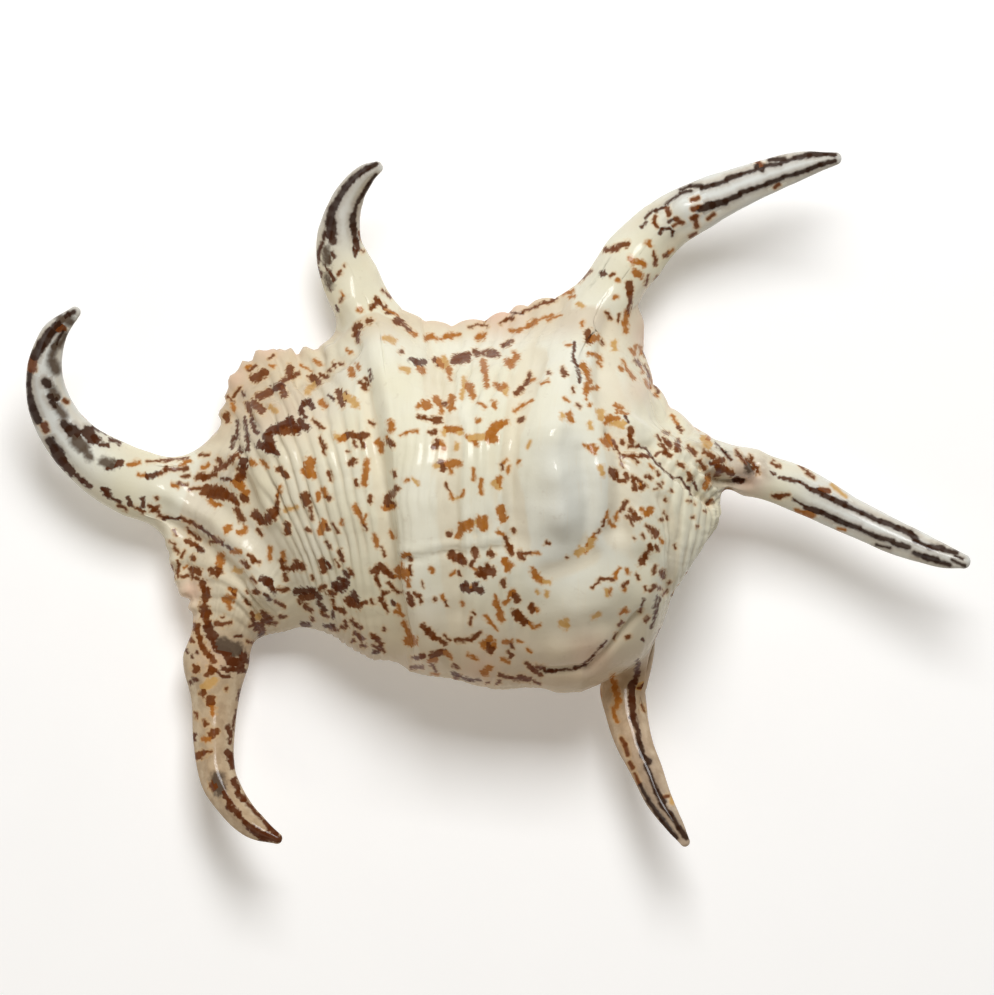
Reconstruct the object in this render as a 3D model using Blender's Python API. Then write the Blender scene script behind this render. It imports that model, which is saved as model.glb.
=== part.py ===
"""Spider conch shell, dorsal side up, as one closed solid.

The shell is a loft of closed loops. Each loop is one turn of the body, cut along a spiral cord: it starts at the
edge of the outer lip, crosses the back, passes round the foot side, and returns below through the aperture. The
loops run from the tip of the spire to the root of the siphonal canal. Six horns grow out of the loft: five from
the lip, the last of which passes under the spire, and the canal itself.

Frame: +X along the shell towards the spire, +Y towards the outer lip, +Z up. The shell rests on z = 0, with the
centre of its outline over the origin. Stations count the loops: 0 is the tip of the spire, 23 the canal's root.
"""

import bmesh
import bpy
import numpy as np

MM = 0.001
SHELL_COLOUR = (0.86, 0.82, 0.70, 1.0)
SHELL_ROUGHNESS = 0.3
CENTRE = (0.21, -0.42)

# How finely the loft is divided: loops from tip to canal, and points round each loop. A section has this many guide
# points.
LAST_STATION = 23
LOOPS_PER_STATION = 3
ROUND = 42
GUIDES = 29

# Plan of the loops: each row is a line along the shell, as (station, x, y) in millimetres.
LIP_ROW = [
    (0, 44.5, -3.5), (1, 44.5, -1.5), (2, 45, 1.5), (3, 46.5, 6.5), (4, 41.8, 12.4), (5, 34.8, 18.6),
    (6, 30.4, 27.5), (7, 29.4, 40.5), (8, 24.5, 50), (9, 15, 42), (10, 7, 38.9), (11, -1.5, 36), (12, -11, 34.9),
    (13, -18.3, 37.6), (14, -25.5, 42), (15, -32, 32.6), (16, -39.5, 28.7), (17, -47, 28.4), (17.5, -51, 25.6),
    (18, -54.3, 20), (18.5, -55.4, 14), (19, -60, 9.2), (20, -66.5, 1.5), (21, -66, -9), (22, -63.6, -18),
    (22.4, -61.4, -20.6), (23, -60.5, -24.5),
]
SHOULDER_ROW = [
    (0, 44.5, -3.5), (1, 44.5, -2.5), (2, 42.5, -0.5), (3, 41, 4.5), (4, 37.5, 9.5), (5, 32, 13.5),
    (6, 26.5, 19.5), (7, 21, 25.5), (8, 16, 27), (9, 10.5, 27.5), (10, 3.5, 25.5), (12, -11, 23.5),
    (14, -22.5, 29), (15, -28, 25.5), (16, -34.5, 19.5), (17, -41.5, 19), (18, -47.5, 14.5), (19, -52.5, 7),
    (20, -56, -2), (21, -58, -10), (22, -58, -17.5), (23, -57.5, -24.5),
]
BACK_ROW = [
    (0, 44.5, -3.5), (1, 44.5, -3.5), (2, 42.5, -4), (3, 39.5, -1.5), (4, 35, 1.5), (5, 30, 5), (6, 24.5, 8.5),
    (8, 13, 10.5), (10, 1, 10.5), (12, -12.5, 9.5), (14, -20.5, 10.5), (16, -31, 7), (18, -42, 4),
    (19, -45.5, -1), (20, -48.5, -8.5), (21, -51, -14), (22, -52.5, -19.5), (23, -54, -25),
]
FLANK_ROW = [
    (0, 44.5, -3.5), (1, 44, -4.5), (2, 41.5, -8.5), (3, 38.5, -10.5), (4, 34.5, -10.5), (5, 31, -9.5),
    (6, 26, -9.5), (8, 13, -11), (10, 0.5, -11), (12, -12.5, -11), (14, -19.5, -9.5), (16, -28, -9.5),
    (18, -36.5, -10.5), (19, -39.5, -13), (20, -42.5, -16.5), (21, -45.5, -20), (22, -48, -22.5),
    (23, -50.5, -26.5),
]
FOOT_ROW = [
    (0, 44.5, -3.5), (1, 43.6, -6.6), (2, 38.8, -12.8), (3, 35.2, -18.6), (4, 33.6, -23.6), (5, 30.2, -31),
    (6, 22.8, -36.6), (7, 18, -38.5), (8, 12.5, -39.3), (9, 7.5, -38), (10, 0.5, -38.7), (11, -5.5, -37),
    (12, -11, -36), (14, -17.5, -34.8), (15, -20.5, -33), (16, -24.5, -32), (17, -28, -30.7), (18, -31.2, -28.2),
    (19, -35, -26.9), (20, -39, -26.6), (21, -42, -26.9), (22, -45, -27.3), (23, -48, -28.3),
]
ROWS = (FOOT_ROW, FLANK_ROW, BACK_ROW, SHOULDER_ROW, LIP_ROW)
ROW_SHARES = (0.0, 0.25, 0.5, 0.75, 1.0)

# Heights along the shell, as (station, millimetres above the table).
CREST_Z = [
    (0, 25), (2, 33.5), (3, 39), (4, 44), (5, 47.5), (6, 50.5), (8, 53), (10, 51), (12, 48), (14, 44),
    (16, 39), (18, 33), (19, 29.5), (20, 26), (21, 22), (22, 18), (23, 15),
]
LIP_Z = [
    (0, 25), (2, 24), (3, 21), (4, 18), (5, 14), (6, 10.5), (7, 10.5), (8, 11.5), (9, 9), (10, 6.5), (12, 6),
    (13, 7.5), (14, 9), (15, 7.5), (16, 6.5), (18, 7.5), (19, 9), (20, 10), (21, 9), (22, 8), (23, 8),
]
LIP_THICKNESS = [
    (0, 6), (4, 8), (5, 6), (6, 7), (8, 10), (10, 5), (12, 5), (14, 8.5), (16, 5.5), (18, 6), (20, 9), (22, 7),
    (23, 8),
]
UNDER_LIP_Z = [
    (0, 15), (4, 9), (5, 5), (6, 2), (7, 0), (8, -1), (9, 0), (10, 1.5), (12, 1.5), (13, 0), (14, -1), (15, 0),
    (16, 1.5), (18, 1), (19, -0.5), (20, -1), (21, 0), (22, 1), (23, 2),
]
CALLUS_Z = [
    (0, 20), (3, 11), (4, 8), (5, 5), (6, 2.6), (7, 0.8), (8, -0.4), (9, -0.9), (15, -0.9), (17, -0.4), (18, 0.4),
    (20, 1.8), (22, 3), (23, 3),
]
SPIRE_RADIUS = [(0, 0), (1, 2.8), (2, 8), (3, 13.5), (4, 17.5), (6, 21), (23, 21)]
SPIRE_CENTRE_Z = 25.0
HOLLOW = [(0, 0), (4, 0), (7, 1), (18, 1), (22, 0.15), (23, 0)]

# The aperture's two lips, as shares of the way from the foot (0) to the outer lip's edge (1).
INNER_LIP = [(0, 0.52), (5, 0.52), (8, 0.50), (12, 0.49), (16, 0.50), (20, 0.52), (23, 0.46)]
OUTER_LIP = [(0, 0.60), (5, 0.62), (8, 0.69), (12, 0.70), (16, 0.69), (20, 0.64), (23, 0.54)]

# Ribs that cross the back: station, half width in stations, height in mm at the lip, at the crest, at the foot.
RIBS = [(8.0, 1.0, 3.5, 1.0, 0.0), (14.0, 1.0, 3.0, 1.8, 0.8), (20.0, 0.9, 2.6, 2.6, 0.5)]

# The hump, the shoulder beside the spire and the valley behind it: height in mm, then the station of its middle and
# its half width, and the place round the loop of its middle and its half width.
RISES = [(3.0, 7.6, 1.7, 7.2, 2.0), (1.6, 4.3, 0.9, 2.6, 1.2), (-2.2, 6.0, 0.7, 2.6, 1.2)]

# Lobes along the foot: the stations between them, how far they stand out in mm, and their place round the loop.
FOOT_LOBES = (5.2, 7.2, 9.0, 10.8, 13.9, 16.0, 17.8)
FOOT_LOBE_HEIGHT = 0.9
FOOT_LOBE_PLACE = 9.6
FOOT_LOBE_WIDTH = 1.5

# Horns: centre line (x, y, z) and width across at each point of it, mm; the place where the plain horn begins;
# and the part of the loft it grows from: first and last station, first and last point round the loop.
HORN_A = {
    "path": [(29, -31, 9), (25.7, -37.5, 10), (26.2, -43.3, 11.5), (27.7, -49, 14), (29.9, -54, 16),
             (32.4, -60, 18), (35.5, -65.2, 20), (37.6, -68.6, 21)],
    "width": [11, 9.4, 8.4, 7.3, 6.4, 5.4, 3.7, 1.9], "begins": 1.0, "root": (4, 6, 15, 17),
}
HORN_B = {
    "path": [(40.5, 8.5, 20), (46.5, 6.2, 20), (53, 4, 19), (60.5, 1.4, 18), (70.5, -3.8, 18), (80.5, -8.6, 20),
             (88.3, -11.6, 22), (92.8, -12.9, 24)],
    "width": [13.5, 12.4, 9.0, 9.0, 7.5, 6.6, 5.0, 2.8], "begins": 1.7, "root": (2, 4, -3, 3),
}
HORN_C = {
    "path": [(22.5, 39.5, 11), (27.2, 47.2, 12), (33.4, 53.8, 14), (41, 58.2, 17), (49.5, 61.9, 20), (59.5, 65.4, 23),
             (67.3, 66.9, 26)],
    "width": [15.5, 12.4, 10.8, 9.8, 7.8, 5.9, 2.4], "begins": 1.1, "root": (7, 9, -3, 3),
}
HORN_D = {
    "path": [(-25, 36.5, 9), (-28.8, 43.2, 10), (-31.2, 49.6, 12), (-30.8, 55, 15), (-28.9, 60.1, 19),
             (-26.0, 63.6, 23), (-23.4, 65.2, 26)],
    "width": [14, 11.8, 9.6, 7.7, 5.9, 4.3, 2.2], "begins": 1.1, "root": (13, 15, -3, 3),
}
HORN_E = {
    "path": [(-60, 0.5, 10), (-69, 1.6, 11), (-77.5, 5.4, 13), (-84.3, 10.8, 15), (-88.5, 17.6, 18),
             (-89.6, 25, 22), (-87.5, 32, 25), (-83.1, 36.4, 28)],
    "width": [15, 14, 12.6, 10.4, 8.8, 7.1, 5.2, 2.2], "begins": 1.3, "root": (19, 21, -3, 3),
}
HORN_F = {
    "path": [(-54.5, -26.5, 8), (-56, -33, 9), (-56.2, -41, 10), (-56.3, -49, 12), (-55.4, -56, 14),
             (-52, -61.8, 17), (-47.9, -65.6, 20), (-43.4, -67.9, 22)],
    "width": [14.5, 13.4, 9.5, 8.2, 7.3, 6.4, 5.2, 2.4], "begins": 1.0, "root": None,
}

# A horn's depth as a share of its width, the most it may be at the root in mm, and its number of rings.
HORN_DEPTH = 0.86
ROOT_DEPTH = 10.5
ROOT_RINGS = 3
HORN_RINGS = 9

# Section of a horn, turns counted in radians from its top: two grooves above and the open channel below.
GROOVE_TURN = 0.62
GROOVE_WIDTH = 0.22
GROOVE_DEPTH = 0.05
CHANNEL_WIDTH = 0.3
CHANNEL_DEPTH = 0.26


def through(knots, at):
    """Smooth curve through the knots, (place, values...), read at the given places."""
    table = np.array(knots, float)
    place, values = table[:, 0], table[:, 1:]
    slope = np.gradient(values, place, axis=0)
    at = np.clip(np.asarray(at, float), place[0], place[-1])
    left = np.clip(np.searchsorted(place, at, side="right") - 1, 0, len(place) - 2)
    width = (place[left + 1] - place[left])[..., None]
    part = (at[..., None] - place[left][..., None]) / width
    result = (
        values[left] * (1 + 2 * part) * (1 - part) ** 2
        + slope[left] * width * part * (1 - part) ** 2
        + values[left + 1] * part**2 * (3 - 2 * part)
        + slope[left + 1] * width * part**2 * (part - 1)
    )
    return result[..., 0] if values.shape[1] == 1 else result


def ease(low, high, at):
    """0 before low, 1 after high, smooth between."""
    part = np.clip((np.asarray(at, float) - low) / (high - low), 0, 1)
    return part * part * (3 - 2 * part)


def hill(centre, width, at):
    return np.exp(-(((at - centre) / width) ** 2))


def loop_guides(station):
    """Guide points of each loop's section: share of the way from foot to lip, and height, in loop order."""
    crest = through(CREST_Z, station)
    lip, half = through(LIP_Z, station), through(LIP_THICKNESS, station) / 2
    under, callus = through(UNDER_LIP_Z, station), through(CALLUS_Z, station)
    inner, outer = through(INNER_LIP, station), through(OUTER_LIP, station)
    hollow = np.clip(through(HOLLOW, station), 0, 1)
    top = lip + half
    rise = crest - top
    zero = np.zeros_like(station)

    def cave(share, height, plain_share, plain_height):
        return (
            hollow * share + (1 - hollow) * plain_share,
            hollow * height + (1 - hollow) * plain_height,
        )

    floor = 0.5 * (under + callus)
    dent = floor + 1.5
    body = [
        (zero + 1.012, lip), (zero + 0.975, top), (zero + 0.90, top + 0.09 * rise), (zero + 0.81, top + 0.36 * rise),
        (zero + 0.71, top + 0.68 * rise), (zero + 0.60, top + 0.91 * rise), (zero + 0.47, 1.02 * crest),
        (zero + 0.32, crest), (zero + 0.17, 0.88 * crest), (zero + 0.04, 0.66 * crest),
        (zero - 0.015, 0.45 * crest), (zero + 0.015, 0.25 * crest), (zero + 0.10, callus + 0.10 * crest),
        (zero + 0.24, callus + 0.01 * crest), (zero + 0.38, callus),
        cave(inner, callus + 4, inner * 0.92, callus),
        cave(inner - 0.02, 9 + zero, inner * 0.95, dent),
        cave(inner - 0.10, 0.36 * crest, inner * 0.98, dent + 0.8),
        cave(inner - 0.24, 0.46 * crest, inner, dent + 1.2),
        cave(zero + 0.085, 0.53 * crest, inner * 1.01, dent + 1.5),
        cave(zero + 0.15, 0.79 * crest, inner * 1.03, dent + 1.6),
        cave(zero + 0.41, 0.90 * crest, inner * 1.05, dent + 1.5),
        cave(zero + 0.64, 0.72 * crest, inner * 1.08, dent + 1.2),
        cave(zero + 0.74, 0.37 * crest, outer * 1.0, dent + 0.8),
        cave(outer + 0.01, 0.13 * crest + 1.5, outer * 1.03, dent),
        cave(outer + 0.01, under + 3.5, outer * 1.08, under + 0.5),
        (outer + 0.07, under - 0.2), (zero + 0.87, under), (zero + 0.965, lip - half),
    ]
    share = np.stack([pair[0] for pair in body], -1)
    height = np.stack([pair[1] for pair in body], -1)
    count = len(body)
    turn = np.concatenate([np.arange(10) / 10, 1 + np.arange(count - 10) / (count - 10)]) * np.pi
    radius = through(SPIRE_RADIUS, station)[:, None]
    blend = ease(2, 6, station)[:, None]
    share = blend * share + (1 - blend) * (0.5 + 0.5 * np.cos(turn))
    height = blend * height + (1 - blend) * (SPIRE_CENTRE_Z + radius * np.sin(turn))
    return share, height


def closed_spline(guides, place):
    """Closed uniform cubic B-spline over the last axis of the guides, read at places counted in guides."""
    count = guides.shape[-1]
    first = np.floor(place).astype(int)
    part = place - first
    weights = (
        (1 - part) ** 3 / 6,
        (3 * part**3 - 6 * part**2 + 4) / 6,
        (-3 * part**3 + 3 * part**2 + 3 * part + 1) / 6,
        part**3 / 6,
    )
    return sum(weight * guides[..., (first + step - 1) % count] for step, weight in enumerate(weights))


def over_plan(station, share):
    """Plan position of a loop's points: along each row by station, across the rows by share."""
    rows = np.stack([through(row, station) for row in ROWS], 1)
    result = 0
    for index, own in enumerate(ROW_SHARES):
        weight = np.ones_like(share)
        for other in ROW_SHARES:
            if other != own:
                weight = weight * (share - other) / (own - other)
        result = result + weight[..., None] * rows[:, index, None, :]
    return result


def relief(station, place, share):
    """How far the surface stands out from the plain loft, mm: ribs, rises, the suture's step and foot lobes."""
    back = ease(-0.5, 1.2, place) * (1 - ease(9.5, 12, place))
    height = 0
    for centre, width, at_lip, at_crest, at_foot in RIBS:
        level = through([(0, at_lip), (3, at_lip), (6, at_crest), (10.5, at_foot), (GUIDES, 0)], place)
        height = height + level * hill(centre, width, station)
    for rise, middle, half_width, middle_place, half_round in RISES:
        height = height + rise * hill(middle, half_width, station) * hill(middle_place, half_round, place)
    height = height + ease(0.52, 0.62, share) * ease(1.5, 3, station) * (1 - ease(6, 8, station))
    lobe_place = hill(FOOT_LOBE_PLACE, FOOT_LOBE_WIDTH, place)
    for first, last in zip(FOOT_LOBES, FOOT_LOBES[1:]):
        along = np.clip((station - first) / (last - first), 0, 1)
        within = (along > 0) & (along < 1)
        height = height + FOOT_LOBE_HEIGHT * (np.sqrt(np.sin(np.pi * along)) - 0.5 * within) * lobe_place
    return height * back


def loft_surface(station, place):
    """Points of the loft for all the stations and places round the loop, as (stations, places, xyz) in mm."""
    share_guides, height_guides = loop_guides(station)
    share = closed_spline(share_guides, place)
    height = closed_spline(height_guides, place)
    points = np.concatenate([over_plan(station, share), height[..., None]], -1)
    along = np.gradient(points, station, axis=0)
    around = np.roll(points, -1, 1) - np.roll(points, 1, 1)
    normal = np.cross(around, along)
    length = np.linalg.norm(normal, axis=-1, keepdims=True)
    normal = normal / np.maximum(length, 1e-6)
    grown = relief(station[:, None], place[None, :], share)
    return points + normal * grown[..., None]


def centre_line(path, at):
    """Point, forward, side and up directions of a horn's centre line; side is level."""
    knots = [(place, *point) for place, point in enumerate(path)]
    at = np.asarray(at, float)
    forward = through(knots, at + 0.03) - through(knots, at - 0.03)
    forward = forward / np.linalg.norm(forward, axis=-1, keepdims=True)
    side = np.cross(forward, (0.0, 0.0, 1.0))
    side = side / np.linalg.norm(side, axis=-1, keepdims=True)
    return through(knots, at), forward, side, np.cross(side, forward)


def horn_shape(turn, along):
    """Share of the full radius at each turn from the top: two grooves above, and the open channel below."""
    wrapped = (turn + np.pi) % (2 * np.pi) - np.pi
    below = np.abs(wrapped) - np.pi
    grooves = GROOVE_DEPTH * hill(GROOVE_TURN, GROOVE_WIDTH, np.abs(wrapped))
    channel = CHANNEL_DEPTH * hill(0, CHANNEL_WIDTH, below)
    return 1 - ease(0.0, 0.3, along) * (grooves + channel)


def horn_rings(horn, ring, inward):
    """Rings of a horn from its root ring to its tip; inward is the loft's own direction into the root."""
    path, begins = horn["path"], horn["begins"]
    last = len(path) - 1
    middle = ring.mean(0)
    _, _, side, up = centre_line(path, [0.4])
    aside, above = (ring - middle) @ side[0], (ring - middle) @ up[0]
    turn = np.unwrap(np.arctan2(aside / np.ptp(aside), above / np.ptp(above)))
    sense = np.sign(turn[-1] - turn[0])
    even = sense * 2 * np.pi * np.arange(len(ring)) / len(ring)
    even = even + (turn - even).mean()

    along = np.linspace(0, 1, HORN_RINGS + 1)
    place = begins + (last - begins) * along
    point, forward, side, up = centre_line(path, place)
    width = through(list(enumerate(horn["width"])), place)
    depth = np.minimum(HORN_DEPTH * width, ROOT_DEPTH)
    relaxed = ease(0, 0.5, along)[:, None]
    angle = (1 - relaxed) * turn + relaxed * even
    shape = horn_shape(angle, along[:, None])
    across = 0.5 * width[:, None] * shape * np.sin(angle)
    tall = 0.5 * depth[:, None] * shape * np.cos(angle)
    rings = point[:, None] + side[:, None] * across[..., None] + up[:, None] * tall[..., None]

    span = np.linalg.norm(rings[0] - ring, axis=1)[:, None]
    rows = []
    for part in np.arange(1, ROOT_RINGS) / ROOT_RINGS:
        rows.append(
            ring * (1 + 2 * part) * (1 - part) ** 2
            + inward * span * part * (1 - part) ** 2
            + rings[0] * part**2 * (3 - 2 * part)
            + forward[0] * span * part**2 * (part - 1)
        )
    tip = point[-1] + forward[-1] * 0.4 * width[-1]
    return np.concatenate([np.array(rows), rings]), tip


class Skin:
    """Points and faces of the one closed surface."""

    def __init__(self):
        self.points = []
        self.faces = []
        self.count = 0

    def add(self, points):
        points = np.asarray(points, float)
        numbers = np.arange(self.count, self.count + points.size // 3).reshape(points.shape[:-1])
        self.points.append(points.reshape(-1, 3))
        self.count += numbers.size
        return numbers

    def strip(self, first, second):
        """Quads between two closed rings of the same length."""
        after = np.roll(np.arange(len(first)), -1)
        self.faces += np.stack([first, first[after], second[after], second], -1).tolist()

    def fan(self, ring, middle):
        after = np.roll(ring, -1)
        self.faces += [[int(a), int(b), int(middle)] for a, b in zip(ring, after)]


def root_ring(first, last, low, high):
    """Grid positions round a root, in order, each with the step that leads into it."""
    below = [((row, low), (0, 1)) for row in range(first, last)]
    right = [((last, column), (-1, 0)) for column in range(low, high)]
    above = [((row, high), (0, -1)) for row in range(last, first, -1)]
    left = [((first, column), (1, 0)) for column in range(high, low, -1)]
    ring = below + right + above + left
    steps = dict(ring)
    corners = {(first, low): (1, 1), (last, low): (-1, 1), (last, high): (-1, -1), (first, high): (1, -1)}
    steps.update(corners)
    positions = [position for position, _ in ring]
    return np.array(positions), np.array([steps[position] for position in positions])


def build_skin():
    station = np.linspace(0, LAST_STATION, LAST_STATION * LOOPS_PER_STATION + 1)[1:]
    place = np.arange(ROUND) / ROUND * GUIDES
    grid = loft_surface(station, place)
    skin = Skin()
    tip = skin.add(np.array([[*LIP_ROW[0][1:], SPIRE_CENTRE_Z]]))[0]
    numbers = skin.add(grid)
    skin.fan(numbers[0][::-1], tip)

    open_cells = np.zeros(numbers.shape, bool)
    for horn in (HORN_A, HORN_B, HORN_C, HORN_D, HORN_E):
        first, last, low, high = horn["root"]
        first, last = first * LOOPS_PER_STATION - 1, last * LOOPS_PER_STATION - 1
        open_cells[first:last, np.arange(low, high) % ROUND] = True
        position, step = root_ring(first, last, low, high)
        row, column = position[:, 0], position[:, 1] % ROUND
        before = position - step
        inward = grid[row, column] - grid[before[:, 0], before[:, 1] % ROUND]
        inward = inward / np.linalg.norm(inward, axis=1, keepdims=True)
        rings, end = horn_rings(horn, grid[row, column], inward)
        chain = [numbers[row, column]] + list(skin.add(rings))
        for one, two in zip(chain, chain[1:]):
            skin.strip(one, two)
        skin.fan(chain[-1], skin.add(end[None])[0])

    after = np.roll(np.arange(ROUND), -1)
    quads = np.stack([numbers[:-1], numbers[1:], numbers[1:][:, after], numbers[:-1][:, after]], -1)
    skin.faces += quads[~open_cells[:-1]].tolist()

    inward = grid[-1] - grid[-2]
    inward = inward / np.linalg.norm(inward, axis=1, keepdims=True)
    rings, end = horn_rings(HORN_F, grid[-1], inward)
    chain = [numbers[-1]] + list(skin.add(rings))
    for one, two in zip(chain, chain[1:]):
        skin.strip(one, two)
    skin.fan(chain[-1], skin.add(end[None])[0])
    return skin


def shell_material():
    material = bpy.data.materials.new("shell")
    material.use_nodes = True
    shader = material.node_tree.nodes["Principled BSDF"]
    shader.inputs["Base Color"].default_value = SHELL_COLOUR
    shader.inputs["Roughness"].default_value = SHELL_ROUGHNESS
    return material


def main():
    for thing in list(bpy.data.objects):
        bpy.data.objects.remove(thing, do_unlink=True)
    collection = bpy.data.collections.new("spider_conch")
    bpy.context.scene.collection.children.link(collection)

    skin = build_skin()
    points = np.concatenate(skin.points)
    points[:, 2] = np.maximum(points[:, 2], 0)
    points[:, :2] -= CENTRE
    mesh = bpy.data.meshes.new("shell")
    mesh.from_pydata((points * MM).tolist(), [], skin.faces)
    work = bmesh.new()
    work.from_mesh(mesh)
    bmesh.ops.triangulate(work, faces=work.faces, quad_method="SHORT_EDGE")
    bmesh.ops.recalc_face_normals(work, faces=work.faces)
    work.to_mesh(mesh)
    work.free()
    shell = bpy.data.objects.new("shell", mesh)
    shell.data.materials.append(shell_material())
    collection.objects.link(shell)


main()
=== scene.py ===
"""Spider conch shell, lying on its aperture: its surface, its markings, and a studio view from above.

The shell is one stitched skin. A loft of closed loops runs from the tip of the spire to the root of the
canal, and six horns grow out of it. Its guide curves are those of the modelled solid, read far more
finely, and the cords, knobs, dents, growth steps and lip folds of the real surface are laid over them.
The brown marks are short strokes, each kept in its own measure at every corner of the mesh, so that their
edges stay sharp.
"""

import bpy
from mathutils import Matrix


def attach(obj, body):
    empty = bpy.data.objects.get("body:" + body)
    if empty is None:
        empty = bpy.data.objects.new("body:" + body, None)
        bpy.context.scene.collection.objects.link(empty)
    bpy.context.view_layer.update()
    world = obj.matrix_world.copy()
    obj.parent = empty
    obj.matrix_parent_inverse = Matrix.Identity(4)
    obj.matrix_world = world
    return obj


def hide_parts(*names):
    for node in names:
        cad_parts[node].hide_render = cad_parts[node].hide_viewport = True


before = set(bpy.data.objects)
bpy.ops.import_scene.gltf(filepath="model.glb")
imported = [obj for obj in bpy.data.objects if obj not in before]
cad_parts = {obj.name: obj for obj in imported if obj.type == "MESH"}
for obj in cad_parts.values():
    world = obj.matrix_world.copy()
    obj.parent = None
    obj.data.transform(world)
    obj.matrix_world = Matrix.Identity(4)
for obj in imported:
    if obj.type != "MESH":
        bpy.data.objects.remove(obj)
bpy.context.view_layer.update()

import logging
import math
from dataclasses import dataclass
from enum import Enum

import bpy
import numpy as np

MM = 0.001
SEED = 11

# The photograph: its size and the pixel that lies straight above the origin of the plan, the length that
# one pixel covers at the height of the horns, and how high above the table it was taken.
PHOTO_SIZE = (994, 995)
PHOTO_CENTRE = (495.5, 496.5)
PIXEL_MM = 0.2
HORN_LEVEL_MM = 12.0
CAMERA_HEIGHT_MM = 1400.0

# The plan's own origin lies this far (x, y, mm) from the middle of the shell's outline.
CENTRE = (0.21, -0.42)

# A mark keeps its tone and its half width in one number: the tone, plus the half width over this many
# pixels.
MARK_UNIT = 16.0

# Guide points of each loop's section, and the number of the last station.
GUIDES = 29
LAST_STATION = 23

# Plan of the loops: each row is a line along the shell, as (station, x, y) in millimetres.
LIP_ROW = [
    (0, 44.5, -3.5), (1, 44.5, -1.5), (2, 45, 1.5), (3, 46.5, 6.5), (4, 41.8, 12.4), (5, 34.8, 18.6),
    (6, 30.4, 27.5), (7, 29.4, 40.5), (8, 24.5, 50), (9, 15, 42), (10, 7, 38.9), (11, -1.5, 36),
    (12, -11, 34.9), (13, -18.3, 37.6), (14, -25.5, 42), (15, -32, 32.6), (16, -39.5, 28.7),
    (17, -47, 28.4), (17.5, -51, 25.6), (18, -54.3, 20), (18.5, -55.4, 14), (19, -60, 9.2),
    (20, -66.5, 1.5), (21, -66, -9), (22, -63.6, -18), (22.4, -61.4, -20.6), (23, -60.5, -24.5),
]
SHOULDER_ROW = [
    (0, 44.5, -3.5), (1, 44.5, -2.5), (2, 42.5, -0.5), (3, 41, 4.5), (4, 37.5, 9.5), (5, 32, 13.5),
    (6, 26.5, 19.5), (7, 21, 25.5), (8, 16, 27), (9, 10.5, 27.5), (10, 3.5, 25.5), (12, -11, 23.5),
    (14, -22.5, 29), (15, -28, 25.5), (16, -34.5, 19.5), (17, -41.5, 19), (18, -47.5, 14.5), (19, -52.5, 7),
    (20, -56, -2), (21, -58, -10), (22, -58, -17.5), (23, -57.5, -24.5),
]
BACK_ROW = [
    (0, 44.5, -3.5), (1, 44.5, -3.5), (2, 42.5, -4), (3, 39.5, -1.5), (4, 35, 1.5), (5, 30, 5),
    (6, 24.5, 8.5), (8, 13, 10.5), (10, 1, 10.5), (12, -12.5, 9.5), (14, -20.5, 10.5), (16, -31, 7),
    (18, -42, 4), (19, -45.5, -1), (20, -48.5, -8.5), (21, -51, -14), (22, -52.5, -19.5), (23, -54, -25),
]
FLANK_ROW = [
    (0, 44.5, -3.5), (1, 44, -4.5), (2, 41.5, -8.5), (3, 38.5, -10.5), (4, 34.5, -10.5), (5, 31, -9.5),
    (6, 26, -9.5), (8, 13, -11), (10, 0.5, -11), (12, -12.5, -11), (14, -19.5, -9.5), (16, -28, -9.5),
    (18, -36.5, -10.5), (19, -39.5, -13), (20, -42.5, -16.5), (21, -45.5, -20), (22, -48, -22.5),
    (23, -50.5, -26.5),
]
FOOT_ROW = [
    (0, 44.5, -3.5), (1, 43.6, -6.6), (2, 38.8, -12.8), (3, 35.2, -18.6), (4, 33.6, -23.6),
    (5, 30.2, -31), (6, 22.8, -36.6), (7, 18, -38.5), (8, 12.5, -39.3), (9, 7.5, -38), (10, 0.5, -38.7),
    (11, -5.5, -37), (12, -11, -36), (14, -17.5, -34.8), (15, -20.5, -33), (16, -24.5, -32),
    (17, -28, -30.7), (18, -31.2, -28.2), (19, -35, -26.9), (20, -39, -26.6), (21, -42, -26.9),
    (22, -45, -27.3), (23, -48, -28.3),
]
ROW_SHARES = (0.0, 0.25, 0.5, 0.75, 1.0)

# Heights along the shell, as (station, millimetres above the table).
CREST_Z = [
    (0, 25), (2, 33.5), (3, 39), (4, 44), (5, 47.5), (6, 50.5), (8, 53), (10, 51), (12, 48), (14, 44),
    (16, 39), (18, 33), (19, 29.5), (20, 26), (21, 22), (22, 18), (23, 15),
]
LIP_Z = [
    (0, 25), (2, 24), (3, 21), (4, 18), (5, 14), (6, 10.5), (7, 10.5), (8, 11.5), (9, 9), (10, 6.5),
    (12, 6), (13, 7.5), (14, 9), (15, 7.5), (16, 6.5), (18, 7.5), (19, 9), (20, 10), (21, 9), (22, 8),
    (23, 8),
]
LIP_THICKNESS = [
    (0, 6), (4, 8), (5, 6), (6, 7), (8, 10), (10, 5), (12, 5), (14, 8.5), (16, 5.5), (18, 6), (20, 9),
    (22, 7), (23, 8),
]
UNDER_LIP_Z = [
    (0, 15), (4, 9), (5, 5), (6, 2), (7, 0), (8, -1), (9, 0), (10, 1.5), (12, 1.5), (13, 0), (14, -1),
    (15, 0), (16, 1.5), (18, 1), (19, -0.5), (20, -1), (21, 0), (22, 1), (23, 2),
]
CALLUS_Z = [
    (0, 20), (3, 11), (4, 8), (5, 5), (6, 2.6), (7, 0.8), (8, -0.4), (9, -0.9), (15, -0.9), (17, -0.4),
    (18, 0.4), (20, 1.8), (22, 3), (23, 3),
]
SPIRE_RADIUS = [(0, 0), (1, 2.8), (2, 8), (3, 13.5), (4, 17.5), (6, 21), (23, 21)]
SPIRE_CENTRE_Z = 25.0
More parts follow.
